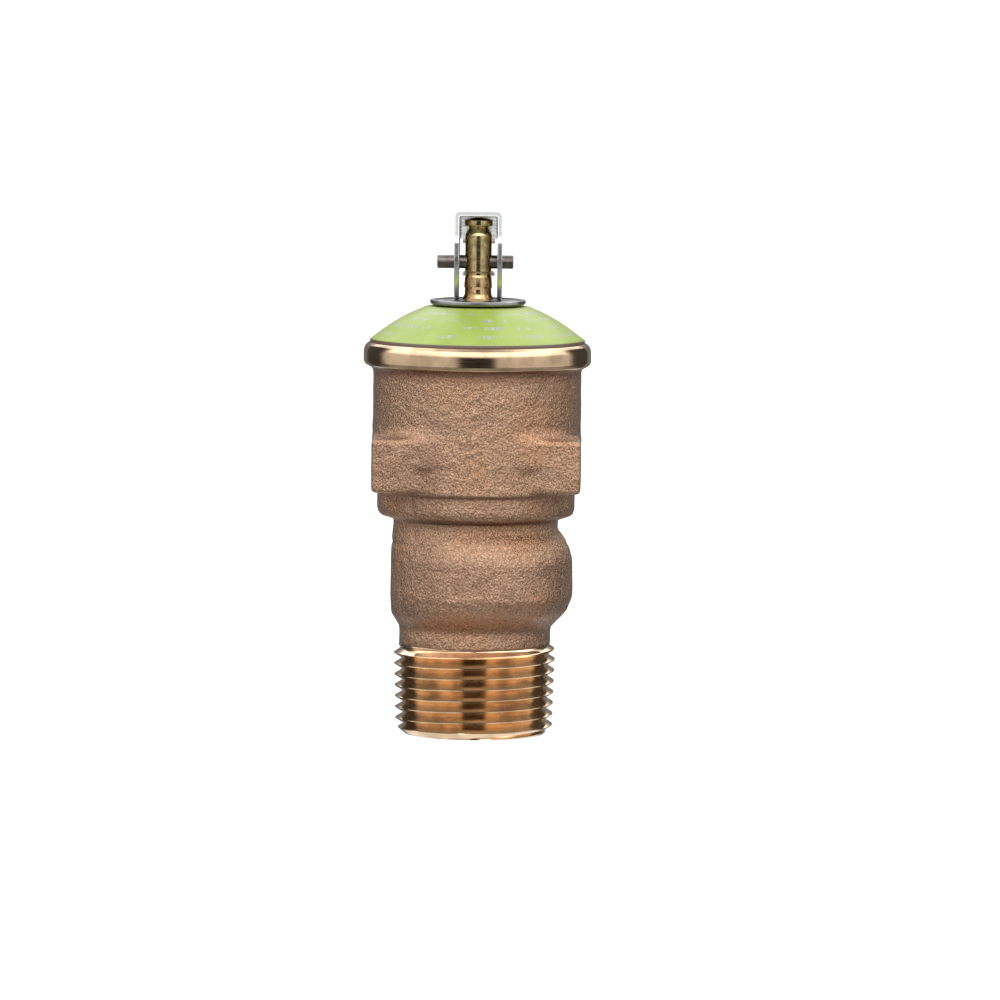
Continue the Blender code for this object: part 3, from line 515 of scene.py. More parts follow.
def green_paint():
    """Lime paint with rows of worn pale marks, which spell nothing, and painted shade and dark reflection
    along its bare cut edge.
    """
    row_height = 1.9
    mark_low, mark_high = 0.3, 0.66  # of a row's height
    mark_width = 0.72  # share of a mark's cell
    empty = 0.35  # share of the cells without a mark
    made, tree, shader = new_material("green_paint", (0.25, 0.33, 0.09), 0.0, 0.42)
    place = object_place(tree)
    x, y, _ = parts_of(tree, place)
    radius = distance_from_axis(tree, x, y)
    rows = maths(tree, "DIVIDE", radius, row_height)
    row = maths(tree, "FLOOR", rows)
    columns = product(tree, maths(tree, "ARCTAN2", y, x), maths(tree, "MULTIPLY_ADD", row, 1.5, 5.0))
    cell = vector_of(tree, maths(tree, "FLOOR", columns), row, 4.0)
    chance = add(tree, "TexWhiteNoise", {"Vector": cell}, noise_dimensions="3D").outputs["Value"]
    in_band = between(tree, maths(tree, "FRACT", rows), mark_low, mark_high)
    has_mark = maths(tree, "GREATER_THAN", chance, empty)
    in_width = maths(tree, "LESS_THAN", maths(tree, "FRACT", columns), mark_width)
    marks = product(tree, in_band, product(tree, has_mark, in_width))
    worn = grey_ramp(tree, noise(tree, place, 0.5), (0.38, 0.0), (0.54, 0.9))
    patches = grey_ramp(tree, noise(tree, place, 0.16, 1.0), (0.38, 0.45), (0.56, 1.0))
    amount = product(tree, marks, mix(tree, 1.0, worn, patches, "MULTIPLY"))
    deep, light = (0.175, 0.240, 0.032), (0.205, 0.270, 0.050)
    tint = ramp(tree, noise(tree, place, 0.12, 3.0), [(0.4, deep), (0.62, light)])
    painted = mix(tree, amount, tint, mix(tree, chance, (0.16, 0.16, 0.185), (0.26, 0.26, 0.28)))
    # painted shade and a painted dark reflection on the plate's bare cut edge, in dark brown
    painted_edge_shade = maths(tree, "GREATER_THAN", radius, PLATE_HIGH.x - 0.06)
    speckle = noise(tree, place, 3.5, 3.0)
    shine = grey_ramp(tree, speckle, (0.3, 0.5), (0.7, 0.34))
    finish(tree, shader, mix(tree, painted_edge_shade, painted, (0.07, 0.045, 0.03)), shine, (speckle, 0.012))
    return made


def dull(name, colour, roughness, scale, depth):
    """Rubber or fibre: matt, with a fine uneven surface."""
    made, tree, shader = new_material(name, colour, 0.0, roughness)
    texture = noise(tree, object_place(tree), scale, 3.0)
    dark = tuple(part * 0.7 for part in colour)
    finish(tree, shader, mix(tree, texture, dark, colour), roughness, (texture, depth))
    return made


LOOKS = {
    "cast_bronze": cast_bronze(),
    "rim_bronze": machined_bronze("rim_bronze", (0.62, 0.44, 0.28), 0.15, 0.010),
    "outlet_bronze": machined_bronze("outlet_bronze", (0.72, 0.51, 0.32), 0.20, 0.006, outlet=True),
    "thread_bronze": machined_bronze("thread_bronze", (0.88, 0.64, 0.42), 0.13, 0.006),
    "brass": turned_metal("brass", (0.62, 0.46, 0.21), 0.24),
    "stem_brass": stem_brass(),
    "steel": turned_metal("stainless_steel", (0.58, 0.57, 0.55), 0.28),
    "spring": turned_metal("spring_steel", (0.46, 0.45, 0.43), 0.32),
    "zinc": plated_steel("zinc_plate", (0.74, 0.75, 0.76), 0.26),
    # a darker copy of the zinc plate: painted shade for the plate under the lever
    "shaded_zinc": plated_steel("shaded_zinc_plate", (0.36, 0.37, 0.37), 0.30),
    "pin": turned_metal("pin_steel", (0.20, 0.165, 0.15), 0.36, 0.01, 0.6),
    "green": green_paint(),
    "rubber": dull("black_rubber", (0.030, 0.030, 0.032), 0.65, 4.0, 0.01),
    "gasket": dull("gasket_fibre", (0.20, 0.15, 0.11), 0.9, 5.0, 0.03),
}


# ---------------------------------------------------------------- the body


def body_profile(fullest):
    """The body's outline from its axis, through the fullest or the flattest side of the bulge."""
    if fullest:
        bulge = [(LOWER_NECK_R, BULGE_BOTTOM_Z, 1.4), *BULGE, (UPPER_NECK_R, BULGE_TOP_Z, 1.0)]
    else:
        start, end = BULGE_BOTTOM_Z, BULGE_TOP_Z
        bulge = [(LOWER_NECK_R, start, 1.4), (BULGE_LOW_R, start + 2.2, 1.6), (BULGE_LOW_R, end - 1.2, 2.0)]
    return fillet(
        [
            (0.0, THREAD_LENGTH - 0.5),
            (LOWER_NECK_R - 0.35, THREAD_LENGTH - 0.5),
            (LOWER_NECK_R, THREAD_LENGTH + 0.1, 0.3),
            *bulge,
            (UPPER_NECK_R, RING_BOTTOM_Z, 0.5),
            (RING_R - 0.3, RING_BOTTOM_Z + 0.8, 0.7),
            (RING_R, RING_BOTTOM_Z + 1.9, 0.8),
            (RING_R, BARREL_BOTTOM_Z, 0.3),
            (BARREL_R, BARREL_BOTTOM_Z + 0.4, 0.3),
            (BARREL_R, RIM_BOTTOM_Z - 1.3, 0.9),
            (RIM_R - 0.9, RIM_BOTTOM_Z - 0.2),
            (RIM_R - 0.9, RIM_BOTTOM_Z + 0.6),
            (0.0, RIM_BOTTOM_Z + 0.6),
        ]
    )


def casting_marks(x, y, z):
    """How far the surface stands out along the parting line and at specks, and sinks along the crease."""
    flash_width, crease_depth, crease_width, specks = 0.38, 0.17, 0.42, 26
    flash = 0.07 + 0.03 * np.sin(z * 1.9) + 0.03 * np.sin(z * 4.3 + 1.0)
    marks = np.exp(-((x / flash_width) ** 2)) * flash * (y < 0)
    marks = marks - crease_depth * np.exp(-(((z - CREASE_Z) / crease_width) ** 2)) * (y < 4)
    random = np.random.default_rng(21)
    for _ in range(specks):
        speck_x, speck_z = random.normal(-0.9, 0.8), random.uniform(47.5, 58.0)
        size, height = random.uniform(0.22, 0.45), random.uniform(0.05, 0.15)
        marks = marks + height * np.exp(-((x - speck_x) ** 2 + (z - speck_z) ** 2) / size**2) * (y < 0)
    return marks


def make_casting():
    """The rough casting, from a grid of distances, with its hollows and the fillets where its shapes meet."""
    pad = 1.0
    low = np.array([-RIM_R - pad, -RIM_R - pad, THREAD_LENGTH - 1.5])
    high = np.array([RIM_R + pad, OUTLET_FACE_Y + pad, RIM_BOTTOM_Z + 1.5])
    xs, ys, zs = grid_lines(low, high, VOXEL)
    x, y, z = xs[:, None, None], ys[None, :, None], zs[None, None, :]
    radii = np.hypot(xs[:, None], ys[None, :])
    outward = np.arctan2(ys[None, :], xs[:, None])
    bulging = ((1 + np.cos(outward - BULGE_TURN)) / 2)[..., None].astype(np.float32)
    full = turned_distance(body_profile(True), radii, zs)
    flat = turned_distance(body_profile(False), radii, zs)
    solid = flat * (1 - bulging) + full * bulging

    block_low = (-BLOCK_X / 2, -BLOCK_Y / 2, BLOCK_BOTTOM_Z)
    block = rounded_box_distance(x, y, z, block_low, (BLOCK_X / 2, BLOCK_Y / 2, BLOCK_TOP_Z), 0.75)
    # the fillet is tight round the block, and wider along its top
    tight, widening = 0.45, 1.75
    spread = (1 - ease(13.5, 16.5, np.abs(x))) * ease(44.0, 46.0, z)
    solid = joined(solid, block.astype(np.float32), (tight + widening * spread).astype(np.float32))

    face = OUTLET_FACE_Y - 0.4  # leaves room for the machined face
    bead_start = OUTLET_FACE_Y - BEAD_LENGTH
    boss_profile = fillet(
        [(0, 2), (BOSS_R, 2), (BOSS_R, bead_start - 0.6, 0.5), (BEAD_R, bead_start + 0.2, 0.5)]
        + [(BEAD_R, face, 0.7), (0, face)]
    )
    across = np.hypot(xs[:, None], (zs - OUTLET_Z)[None, :])
    solid = joined(solid, turned_distance(boss_profile, across, ys).transpose(0, 2, 1), 1.6)
    solid = solid - casting_marks(x, y, z).astype(np.float32)

    inlet = fillet(
        [(0, 10), (INLET_BORE_R, 10), (INLET_BORE_R, 19)]
        + [(INLET_CHAMBER_R, 21, 1.0), (INLET_CHAMBER_R, 29.6, 1.0), (SEAT_PORT_R, 31.6)]
        + [(SEAT_PORT_R, SEAT_POCKET_Z), (SEAT_POCKET_R, SEAT_POCKET_Z)]
        + [(SEAT_POCKET_R, CHAMBER_FLOOR_Z + 0.5), (0, CHAMBER_FLOOR_Z + 0.5)]
    )
    open_top = 70.0
    chamber = fillet(
        [(0, CHAMBER_FLOOR_Z), (CHAMBER_FLOOR_R, CHAMBER_FLOOR_Z, 0.8), (CHAMBER_R, 38.0, 0.8)]
        + [(CHAMBER_R, BONNET_SEAT_Z), (BONNET_SEAT_R, BONNET_SEAT_Z)]
        + [(BONNET_SEAT_R, open_top), (0, open_top)]
    )
    socket_start, past_face = OUTLET_FACE_Y - SOCKET_DEPTH, 40
    port = fillet(
        [(0, PORT_START_Y), (PORT_R, PORT_START_Y), (PORT_R, socket_start - 0.8, 0.5)]
        + [(SOCKET_WALL_R, socket_start), (SOCKET_WALL_R, past_face), (0, past_face)]
    )
    hollow = np.minimum(turned_distance(inlet, radii, zs), turned_distance(chamber, radii, zs))
    hollow = joined(hollow, turned_distance(port, across, ys).transpose(0, 2, 1), 0.5)
    made = field_mesh("body_casting", without(solid, hollow, 0.3), low, VOXEL, LOOKS["cast_bronze"])
    roughen(made)
    return made


def roughen(made):
    """Moves the casting's points in and out a little, as sand leaves it, but not at its machined ends."""
    mesh = made.data
    count = len(mesh.vertices)
    points = np.empty(count * 3)
    normals = np.empty(count * 3)
    mesh.vertices.foreach_get("co", points)
    mesh.vertices.foreach_get("normal", normals)
    points = points.reshape(-1, 3) / MM
    normals = normals.reshape(-1, 3)
    uneven = 0.07 * lumps(points, 5.0, 11) + 0.045 * lumps(points, 1.9, 12) + 0.02 * lumps(points, 0.8, 13)
    rough = ease(THREAD_LENGTH + 0.2, THREAD_LENGTH + 1.2, points[:, 2])
    rough *= 1 - ease(RIM_BOTTOM_Z - 1.0, RIM_BOTTOM_Z - 0.4, points[:, 2])
    rough *= 1 - ease(OUTLET_FACE_Y - 1.2, OUTLET_FACE_Y - 0.8, points[:, 1])
    points += normals * (uneven * rough)[:, None]
    mesh.vertices.foreach_set("co", (points * MM).ravel())
    mesh.update()


def thread_shape(share):
    """How high the thread stands at each share of its pitch, from 0 at the root to 1 on the crest."""
    away = np.abs((share - CREST_SHARE + 0.5) % 1.0 - 0.5)
    return 1 - np.clip((away - CREST_HALF) / (0.5 - CREST_HALF), 0, 1)


HALF_SHARES = (0.0, 0.02, CREST_HALF, 0.08, 0.16, 0.28, 0.40, 0.5)  # from the crest to the root
SHARES = (*(-half for half in HALF_SHARES[:0:-1]), *HALF_SHARES[:-1])


def threaded_ring(name, length, radius_at, wall, look, face_y=None):
    """A ring with a helical thread of this length, closed by the circles (r, z) of its other side.

    With face_y the thread is the outlet's: it lies along the outlet's axis, and z runs inward from its face.
    """
    angles = np.arange(THREAD_SIDES + 1) / THREAD_SIDES
    turn = angles * math.tau
    rows = []
    for climb in range(-2, int(length / PITCH) + 3):
        for share in SHARES:
            z = np.clip((climb + (CREST_SHARE + share) + angles) * PITCH, 0, length)
            r = radius_at(z, thread_shape((z / PITCH - angles) % 1.0))
            rows.append(np.stack([r * np.cos(turn), r * np.sin(turn), z], axis=1))
    for r, z in wall:
        rows.append(np.stack([r * np.cos(turn), r * np.sin(turn), np.full(len(turn), z)], axis=1))
    rows.append(rows[0])
    points = np.concatenate(rows)
    if face_y is not None:
        # turned round about X, which keeps the thread right-handed
        points = points * np.array([1.0, -1.0, -1.0]) + np.array([0.0, 0.0, face_y])
    made = mesh_piece(name, points, ring_faces(len(rows), THREAD_SIDES + 1, closed=False), look, 40)
    if face_y is not None:
        laid_out = Matrix.Rotation(-math.pi / 2, 4, "X")
        made.data.transform(Matrix.Translation((0, 0, OUTLET_Z * MM)) @ laid_out)
    return made


def inlet_radius(z, height):
    """The male thread's radius at a height above the inlet's face, running out below the neck."""
    crest = CREST_R + z * TAPER
    fade = np.clip((z - (THREAD_LENGTH - RUN_OUT)) / RUN_OUT, 0, 1)
    root = crest - THREAD_DEPTH + fade * (LOWER_NECK_R - 0.15 - crest + THREAD_DEPTH)
    crest = crest + fade**3 * (LOWER_NECK_R - 0.1 - crest)
    chamfer = INLET_FACE_R + z * 1.2
    return np.minimum(root + (crest - root) * height, chamfer)


def make_inlet_thread():
    """The male thread with its bore, one closed shape."""
    length = THREAD_LENGTH + 0.25
    bore = [(INLET_BORE_R, length), (INLET_BORE_R, 0.5), (INLET_BORE_R + 0.5, 0.0)]
    return threaded_ring("inlet_thread", length, inlet_radius, bore, LOOKS["thread_bronze"])


def outlet_radius(z, height):
    """The female thread's radius at a depth behind the outlet's face, ending before the socket does."""
    crest = SOCKET_CREST_R - z * TAPER
    root = crest + SOCKET_THREAD_DEPTH - 0.9 * ease(11.0, SOCKET_DEPTH, z)
    chamfer = 13.8 - z * 1.2
    return np.maximum(root + (crest - root) * height, chamfer)


def make_outlet_thread():
    """The female thread and the machined face round it."""
    wall_r, face_r = SOCKET_WALL_R + 0.4, BEAD_R - 0.5
    wall = [(wall_r, SOCKET_DEPTH), (wall_r, 1.0), (face_r, 0.8), (face_r, 0.35), (face_r - 0.35, 0.0)]
    return threaded_ring(
        "outlet_thread", SOCKET_DEPTH, outlet_radius, wall, LOOKS["outlet_bronze"], face_y=OUTLET_FACE_Y
    )


def make_rim():
    """The polished rim that is rolled in over the bonnet's flange."""
    low, top = RIM_BOTTOM_Z, RIM_TOP_Z
    profile = fillet(
        [
            (BONNET_SEAT_R + 0.05, low + 0.1),
            (RIM_R - 1.35, low - 0.85, 0.25),
            (RIM_R - 0.25, low - 0.25, 0.3),
            (RIM_R, low + 0.3, 0.5),
            (RIM_R, low + 2.2, 2.0),
            (RIM_R - 0.35, top - 0.45, 0.5),
            (RIM_R - 0.95, top, 0.4),
            (LIP_R + 0.3, top, 0.3),
            (LIP_R, top - 0.3, 0.2),
            (LIP_R, top - 1.1),
            (BONNET_SEAT_R, top - 1.2),
        ]
    )
    return turned("body_rim", profile, LOOKS["rim_bronze"], sides=192, smooth_degrees=50)


# ---------------------------------------------------------------- the top


def make_nameplate():
    """A thin dished plate, a little fuller towards its edge than a plain cone, with a flat round its hole."""
    edge_r, edge_z, flat_r, hole_r = PLATE_HIGH.x, 65.62, 8.7, 2.9
    top, sheet, fullness, steps = PLATE_HIGH.z, 0.4, 0.5, 24
    outer, inner = [], []
    for step in range(steps + 1):
        share = step / steps
        r = edge_r + (flat_r - edge_r) * share
        z = edge_z + (top - 0.06 - edge_z) * share + fullness * math.sin(math.pi * share)
        outer.append((r, z))
        inner.append((r - 0.03, z - sheet * 1.2))
    flat = [(flat_r - 0.5, top), (hole_r, top), (hole_r, top - sheet), (flat_r - 0.5, top - sheet)]
    profile = [(r, max(z, PLATE_LOW.z)) for r, z in outer + flat + inner[::-1]]
    return turned("painted_nameplate", profile, LOOKS["green"], sides=192)


def make_washer():
    """The round plate under the lever's feet, with a low rolled edge."""
    r, low, high, hole_r = WASHER_HIGH.x, WASHER_LOW.z, WASHER_HIGH.z, 2.45
    floor = high - 0.25
    profile = fillet(
        [
            (hole_r, low, 0.1),
            (r - 0.25, low),
            (r, low + 0.25, 0.2),
            (r, high - 0.12, 0.1),
            (r - 0.12, high, 0.1),
            (r - 0.6, high, 0.25),
            (r - 1.05, floor, 0.25),
            (hole_r, floor, 0.1),
        ]
    )
    # the plate in the darker copy of the zinc, its painted shade under the lever
    return turned("rolled_lever_plate", profile, LOOKS["shaded_zinc"])


def make_stem():
    """The turned stem, from its domed head to the groove for its clip."""
    r, head_r, dome_r = 2.2, 2.35, 7.38
    neck_r, groove_r, collar_r, clip_r = 1.62, r - 0.14, 2.55, 1.6
    head_low, neck_low, pin_top, groove_top, groove_low = 84.4, 84.15, 83.1, 76.7, 76.3
    ring_z, waist_z, collar_z, clip_top, clip_low = 74.45, 74.0, 72.3, 43.85, 42.95
    edge = math.asin((head_r - 0.12) / dome_r)
    crown = []
    for step in range(9):
        angle = edge * step / 8
        crown.append((dome_r * math.sin(angle), PIN_Z + dome_r * math.cos(angle)))
    down = fillet(
        [
            crown[-1],
            (head_r, crown[-1][1] - 0.14, 0.08),
            (head_r - 0.04, head_low, 0.35),
            (neck_r, head_low - 0.1, 0.05),
            (neck_r, neck_low, 0.05),
            (r, pin_top, 1.3),
            (r, groove_top + 0.25, 0.2),
            (groove_r, groove_top, 0.1),
            (groove_r, groove_low, 0.1),
            (r, groove_low - 0.25, 0.3),
            (r + 0.13, ring_z, 0.15),
            (r, waist_z, 0.15),
            (r + 0.04, waist_z - 0.9, 0.6),
            (collar_r, collar_z + 0.2, 0.1),
            (collar_r, collar_z),
            (r, collar_z),
            (r, clip_top),
            (clip_r, clip_top),
            (clip_r, clip_low),
            (r, clip_low),
            (r - 0.25, STEM_LOW.z),
        ]
    )
    return turned("turned_stem", crown[:-1] + down + [(0.0, STEM_LOW.z)], LOOKS["stem_brass"], sides=96)


def make_pin():
    """The lever's pin, with its ends rounded off."""
    r = PIN_HIGH.z - PIN_Z
    length = PIN_HIGH.x - PIN_LOW.x
    profile = fillet([(0, 0), (r, 0, 0.25), (r, length, 0.25), (0, length)])
    made = turned("round_lever_pin", profile, LOOKS["pin"], sides=64)
    start = Matrix.Translation((PIN_LOW.x * MM, 0, PIN_Z * MM))
    made.data.transform(start @ Matrix.Rotation(math.pi / 2, 4, "Y"))
    return made


def cam_outline():
    """The foot's curve about the pin, which keeps one height above the plate as the stem climbs."""
    lift, swing, drop, steps = 2.6, math.radians(85), 6.3, 24
    climb = lift / swing
    points = []
    for step in range(steps + 1):
        angle = swing * step / steps
        reach = drop + climb * angle
        y = -math.sin(angle) * reach - math.cos(angle) * climb
        z = -math.cos(angle) * reach + math.sin(angle) * climb
        points.append((y, z))
    return points


def slab(shape, x, ys, zs, half_width, rounding):
    """Distance to an outline (y, z) made solid across X, its edges rounded. x is counted from the middle."""
    flat = outline_distance(shape, ys[:, None], zs[None, :])[None] + rounding
    side = x - half_width + rounding
    outside = np.hypot(np.maximum(flat, 0), np.maximum(side, 0))
    return outside + np.minimum(np.maximum(flat, side), 0) - rounding


def make_lever():
    """The pressed lever: a channel with two ears, open below, with a tab bent down at its rear.

    Heights are counted from the pin. The web climbs a little to its front edge, and falls behind its knee.
    """
    voxel, pad = 0.11, 0.6
    width, sheet = LEVER_HIGH.x - LEVER_LOW.x, 0.83
    front_y, front_z, knee_y, knee_r = -4.5, 8.58, 6.0, 6.0
    front_fall = math.tan(math.radians(3))
    knee_z = front_z - (knee_y - front_y) * front_fall
    rear_y, rear_z = 21.5, 3.65
    slope = math.atan2(knee_z - rear_z, rear_y - knee_y)
    fall = math.tan(slope)
    drop = sheet / math.cos(slope)
    feet = cam_outline()
    outline = fillet(
        [(rear_y, rear_z, 0.3), (knee_y, knee_z, knee_r), (front_y, front_z, 0.35), (-9.0, 4.2, 2.2)]
        + feet[::-1]
        + [(1.9, feet[0][1], 0.6), (6.8, -1.6, 3.5), (rear_y, rear_z - 2 * drop, 0.3)]
    )
    past, deep = 8.0, -20.0
    under = fillet(
        [
            (rear_y + past, rear_z - drop - past * fall),
            (knee_y, knee_z - sheet, knee_r),
            (front_y - past, front_z - sheet + past * front_fall),
            (front_y - past, deep),
            (rear_y + past, deep),
        ]
    )
    tab_y, tip_z, tab_half, tab_bend, overlap = LEVER_HIGH.y, -3.6, 2.75, 0.8, 2
    corner_z = rear_z - (tab_y - rear_y) * fall
    tab = fillet(
        [
            (rear_y - overlap, rear_z + overlap * fall),
            (tab_y, corner_z, tab_bend + sheet),
            (tab_y, tip_z),
            (tab_y - sheet, tip_z),
            (tab_y - sheet, corner_z + sheet * fall - drop, tab_bend),
            (rear_y - overlap, rear_z + overlap * fall - drop),
        ]
    )
    low = np.array([-width / 2 - pad, LEVER_LOW.y - pad, LEVER_LOW.z - PIN_Z - pad])
    high = np.array([width / 2 + pad, LEVER_HIGH.y + pad, LEVER_HIGH.z - PIN_Z + pad])
    xs, ys, zs = grid_lines(low, high, voxel)
    x = np.abs(xs)[:, None, None]

    bend = 0.9  # radius of the long bends between the web and the ears
    top_z = np.interp(ys, (front_y, knee_y, rear_y), (front_z, knee_z, rear_z))
    above = (zs[None, :] - top_z[:, None])[None] * math.cos(slope)
    bends = np.hypot(np.maximum(above + bend, 0), np.maximum(x - width / 2 + bend, 0)) - bend
    body = np.maximum(slab(outline, x, ys, zs, width / 2, 0.0), bends)
    body = without(body, slab(under, x, ys, zs, width / 2 - sheet, 0.25), 0.12)
    body = joined(body, slab(tab, x, ys, zs, tab_half, 0.12), 0.15)

    notch_z, notch_half, notch_x = -0.45, 2.28, 2.0  # cut into the tab from both sides
    notch = np.maximum(np.abs(zs - notch_z)[None, None, :] - notch_half, notch_x - x)
    notch = np.maximum(notch, (tab_y - 2 * sheet - ys)[None, :, None])
    body = without(body, notch, 0.25)
    hole_r = 1.155
    hole = np.hypot(ys[:, None], zs[None, :])[None] - hole_r
    body = without(body, np.broadcast_to(hole, body.shape), 0.12)
    origin = low + np.array([0, 0, PIN_Z])
    return field_mesh("pressed_lever", body.astype(np.float32), origin, voxel, LOOKS["zinc"])


def make_spring(name, start_share, end_share):
    """Part of the pressure spring's coil, its wire round and its end turns closed and ground flat."""
    wire_r, coil_r, turns = 0.95, 8.2, 5.5
    rings_in_turn, sides = 56, 14
    closing = 0.45  # how far the end turns lie closer together
    low, high = SPRING_LOW.z + wire_r, SPRING_HIGH.z - wire_r
    ground = wire_r * 0.7
    around = np.arange(sides) / sides * math.tau
    count = int(turns * rings_in_turn * (end_share - start_share)) + 1
    rings = []
    for share in np.linspace(start_share, end_share, count):
        angle = math.tau * turns * share
        height = low + (high - low) * (share - math.sin(math.tau * share) / math.tau * closing)
        r = coil_r + wire_r * np.cos(around)
        z = np.clip(height + wire_r * np.sin(around), low - ground, high + ground)
        rings.append(np.stack([r * math.cos(angle), r * math.sin(angle), z], axis=1))
    last = (len(rings) - 1) * sides
    ends = [tuple(range(sides)), tuple(range(last, last + sides))]
    return mesh_piece(name, np.concatenate(rings), ring_faces(len(rings), sides) + ends, LOOKS["spring"], 50)


# ---------------------------------------------------------------- the disc holder and its spring button


def make_holder():
    """The disc holder: a turned cup with a hub, and four guide wings."""
    voxel, pad = 0.2, 0.6
    r, hub_r, web_z, recess_z, recess_r = 10.1, 6.1, 41.0, 39.2, 9.25
    bore_r, pocket_r, pocket_z = 2.45, 4.4, 45.0
    wing_r, wing_low, wing_high, half_thick = 13.9, 38.4, 42.6, 0.9
    skirt_z, top_z = HOLDER_LOW.z, HOLDER_HIGH.z
    below, above = skirt_z - pad, top_z + pad
    low = np.array([-wing_r - pad, -wing_r - pad, below])
    high = np.array([wing_r + pad, wing_r + pad, above])
    xs, ys, zs = grid_lines(low, high, voxel)
    radii = np.hypot(xs[:, None], ys[None, :])
    profile = fillet(
        [(0, skirt_z), (r, skirt_z, 0.3), (r, web_z, 0.4)]
        + [(hub_r, web_z, 0.3), (hub_r, top_z, 0.5), (0, top_z)]
    )
    hollow = [(0, below), (recess_r, below), (recess_r, recess_z), (pocket_r, recess_z)]
    hollow += [(pocket_r, pocket_z), (bore_r, pocket_z), (bore_r, above), (0, above)]
    solid = turned_distance(profile, radii, zs)
    x, y, z = xs[:, None, None], ys[None, :, None], zs[None, None, :]
    along, across = (x + y) * math.sqrt(0.5), (y - x) * math.sqrt(0.5)
    inner, outer = (recess_r + 0.3, -half_thick, wing_low), (wing_r, half_thick, wing_high)
    for first, second in ((along, across), (across, along)):
        wing = rounded_box_distance(np.abs(first), second, z, inner, outer, 0.25)
        solid = joined(solid, wing.astype(np.float32), 0.3)
    solid = without(solid, turned_distance(hollow, radii, zs), 0.1)
    return field_mesh("winged_disc_holder", solid, low, voxel, LOOKS["brass"])


def make_button():
    """The cup that the spring's lower end stands in."""
    r, low, high = BUTTON_HIGH.x, BUTTON_LOW.z, BUTTON_HIGH.z
    bore_r, rim, floor = 6.4, 0.5, low + 0.8
    profile = fillet(
        [
            (bore_r, low, 0.1),
            (r, low, 0.25),
            (r, high, 0.15),
            (r - rim, high, 0.15),
            (r - rim, floor, 0.2),
            (bore_r, floor, 0.1),
        ]
    )
    return turned("pressed_spring_button", profile, LOOKS["steel"])


def place(piece, body, slot_name, *nodes):
    """Puts a piece on its body, and hides the CAD nodes that it stands for. The name of its finish is not
    used.
    """
    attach(piece, body)
    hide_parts(*nodes)


place(make_casting(), "valve", "cast_bronze", "valve_body")
place(make_inlet_thread(), "valve", "cast_bronze", "valve_body")
place(make_outlet_thread(), "valve", "cast_bronze", "valve_body")
place(make_rim(), "valve", "cast_bronze", "valve_body")
place(make_nameplate(), "valve", "green_paint", "nameplate")
place(make_washer(), "valve", "zinc_plate", "lever_plate")
place(make_stem(), "stem", "stem_brass", "stem")
place(make_pin(), "stem", "pin_steel", "lever_pin")
place(make_lever(), "lever", "zinc_plate", "lever")
place(make_holder(), "disc", "brass", "disc_holder")
place(make_button(), "disc", "pressed_steel", "lower_spring_button")

# the spring in two halves, which meet at its middle
upper = make_spring("spring_upper_half", 0.5, 1.0)
lower = make_spring("spring_lower_half", 0.0, 0.5)
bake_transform(upper)
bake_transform(lower)
for half in (upper, lower):
    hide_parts("pressure_spring")

# the CAD nodes that are shown as they are, each with its look
CARRIED = {
    "seat_ring": "steel",
    "bonnet": "steel",
    "bonnet_gasket": "gasket",
    "adjusting_screw": "brass",
    "upper_spring_button": "steel",
    "stem_seal": "rubber",
    "stem_clip": "steel",
    "stem_washer": "steel",
    "seat_disc": "rubber",
    "disc_retainer": "steel",
    "disc_screw": "brass",
}
for name, look in CARRIED.items():
    materials = frame["nodes"][name].data.materials
    materials.clear()
    materials.append(LOOKS[look])


# ---------------------------------------------------------------- the studio


def make_floor():
    """A wide pale disc that glows softly, and shows a faint shadow under the valve."""
    sides, radius = 96, 12000.0
    angles = np.arange(sides) / sides * math.tau
    look, _, shader = new_material("pale_floor", (0.25, 0.25, 0.25), 0.0, 1.0)
    shader.inputs["Specular IOR Level"].default_value = 0.0
    shader.inputs["Emission Color"].default_value = (1.0, 1.0, 1.0, 1.0)
    shader.inputs["Emission Strength"].default_value = 0.86
    points = radius * np.stack([np.cos(angles), np.sin(angles), np.zeros(sides)], axis=1)
    made = new_mesh("floor", points, [tuple(range(sides))], look)
    made.visible_glossy = False


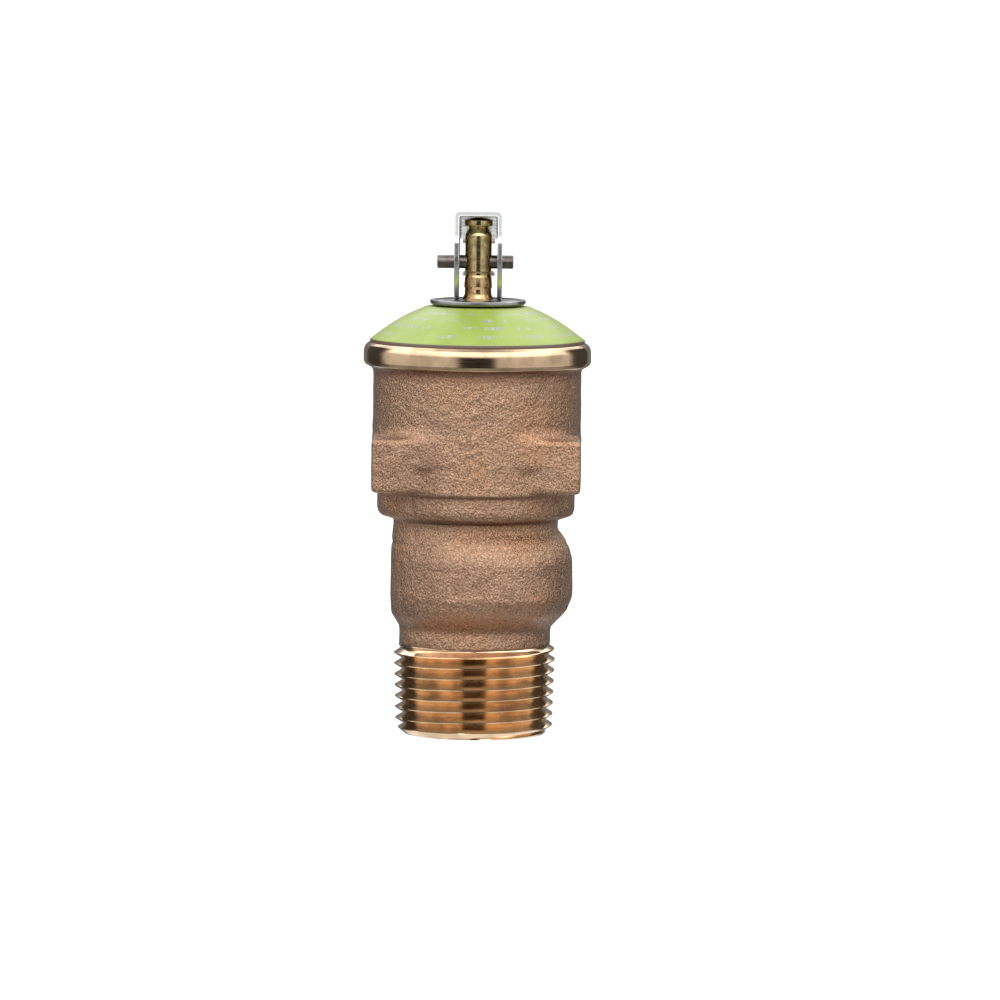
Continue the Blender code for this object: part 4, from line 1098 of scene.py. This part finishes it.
def make_world():
    """White to the eye. For light and reflections, soft boxes all round with a dark gap straight ahead.

    They are brightest above, dim below, and shaded by panels at the rear of each side and straight behind.
    A turn runs from 0 in front to 1 straight behind, and a height from 0 straight down to 1 straight up.
    """
    gap_light, shade_light, rear_light, power = 0.03, 0.07, 0.33, 3.0
    world = bpy.data.worlds.new("studio")
    bpy.context.scene.world = world
    world.use_nodes = True
    tree = world.node_tree
    x, y, z = parts_of(tree, add(tree, "TexCoord").outputs["Generated"])
    azimuth = maths(tree, "ARCTAN2", x, product(tree, y, -1.0))
    turn = maths(tree, "DIVIDE", maths(tree, "ABSOLUTE", azimuth), math.pi)
    height = maths(tree, "MULTIPLY_ADD", z, 0.5, 0.5)

    def panel(turns, heights):
        """How much of the view is covered, as a product of greys over the turn and over the height."""
        return product(tree, grey_ramp(tree, turn, *turns), grey_ramp(tree, height, *heights))

    gap = panel([(0.09, 1.0), (0.125, 0.0)], [(0.24, 0.0), (0.30, 1.0), (0.56, 1.0), (0.60, 0.0)])
    side = panel(
        [(0.58, 0.0), (0.64, 1.0), (0.83, 1.0), (0.88, 0.0)],
        [(0.22, 0.0), (0.30, 1.0), (0.74, 1.0), (0.86, 0.0)],
    )
    back = panel([(0.80, 0.0), (0.86, 0.84)], [(0.28, 0.0), (0.34, 1.0), (0.64, 1.0), (0.74, 0.0)])
    shade = maths(tree, "MAXIMUM", side, back)
    above = grey_ramp(tree, height, (0.60, 0.32), (0.70, 0.80), (0.84, 1.0), (0.93, 0.75), (0.985, 0.27))
    below = grey_ramp(tree, height, (0.02, 0.34), (0.06, 0.13), (0.34, 0.15), (0.46, 0.32))
    behind = grey_ramp(tree, turn, (0.68, 0.0), (0.86, 1.0))
    lower = mix(tree, behind, below, grey(rear_light))
    boxes = mix(tree, maths(tree, "GREATER_THAN", height, 0.5), lower, above)
    brightness = mix(tree, 1.0, boxes, grey(power), "MULTIPLY")
    light = mix(tree, gap, mix(tree, shade, brightness, grey(shade_light)), grey(gap_light))
    camera_ray = add(tree, "LightPath").outputs["Is Camera Ray"]
    colour = mix(tree, camera_ray, light, grey(1.0))
    tree.links.new(colour, tree.nodes["Background"].inputs["Color"])


def look_along(made, direction, roll=0.0):
    """Turns a camera or a lamp to face a direction."""
    made.rotation_mode = "QUATERNION"
    made.rotation_quaternion = direction.to_track_quat("-Z", "Y") @ Quaternion((0, 0, 1), roll)


def make_camera():
    """The photograph's view: level with the valve, from a little above, a long lens."""
    data = bpy.data.cameras.new("camera")
    data.lens = 275.0
    data.sensor_width = 36.0
    data.clip_start, data.clip_end = 0.05, 60.0
    made = new_object("camera", data)
    distance, elevation, roll = 1.27, math.radians(4.8), math.radians(0.6)  # the distance in metres
    aim = Vector((4.0, 0.0, 38.9)) * MM
    back = Vector((0.0, -math.cos(elevation), math.sin(elevation)))
    made.location = aim + back * distance
    look_along(made, -back, roll)
    bpy.context.scene.camera = made


def make_lamp(name, location, power):
    """A soft lamp at a place in metres, aimed at the valve's middle and seen in no reflection."""
    data = bpy.data.lights.new(name, "AREA")
    data.energy = power
    data.size = 0.35
    made = new_object(name, data)
    made.location = location
    look_along(made, Vector((0, 0, 0.04)) - Vector(location))
    made.visible_camera = False
    made.visible_glossy = False


make_floor()
make_world()
make_camera()
make_lamp("key", (-0.55, -0.55, 0.55), 3.0)
make_lamp("fill", (0.60, -0.45, 0.40), 2.0)
bpy.context.scene.view_settings.view_transform = "Standard"
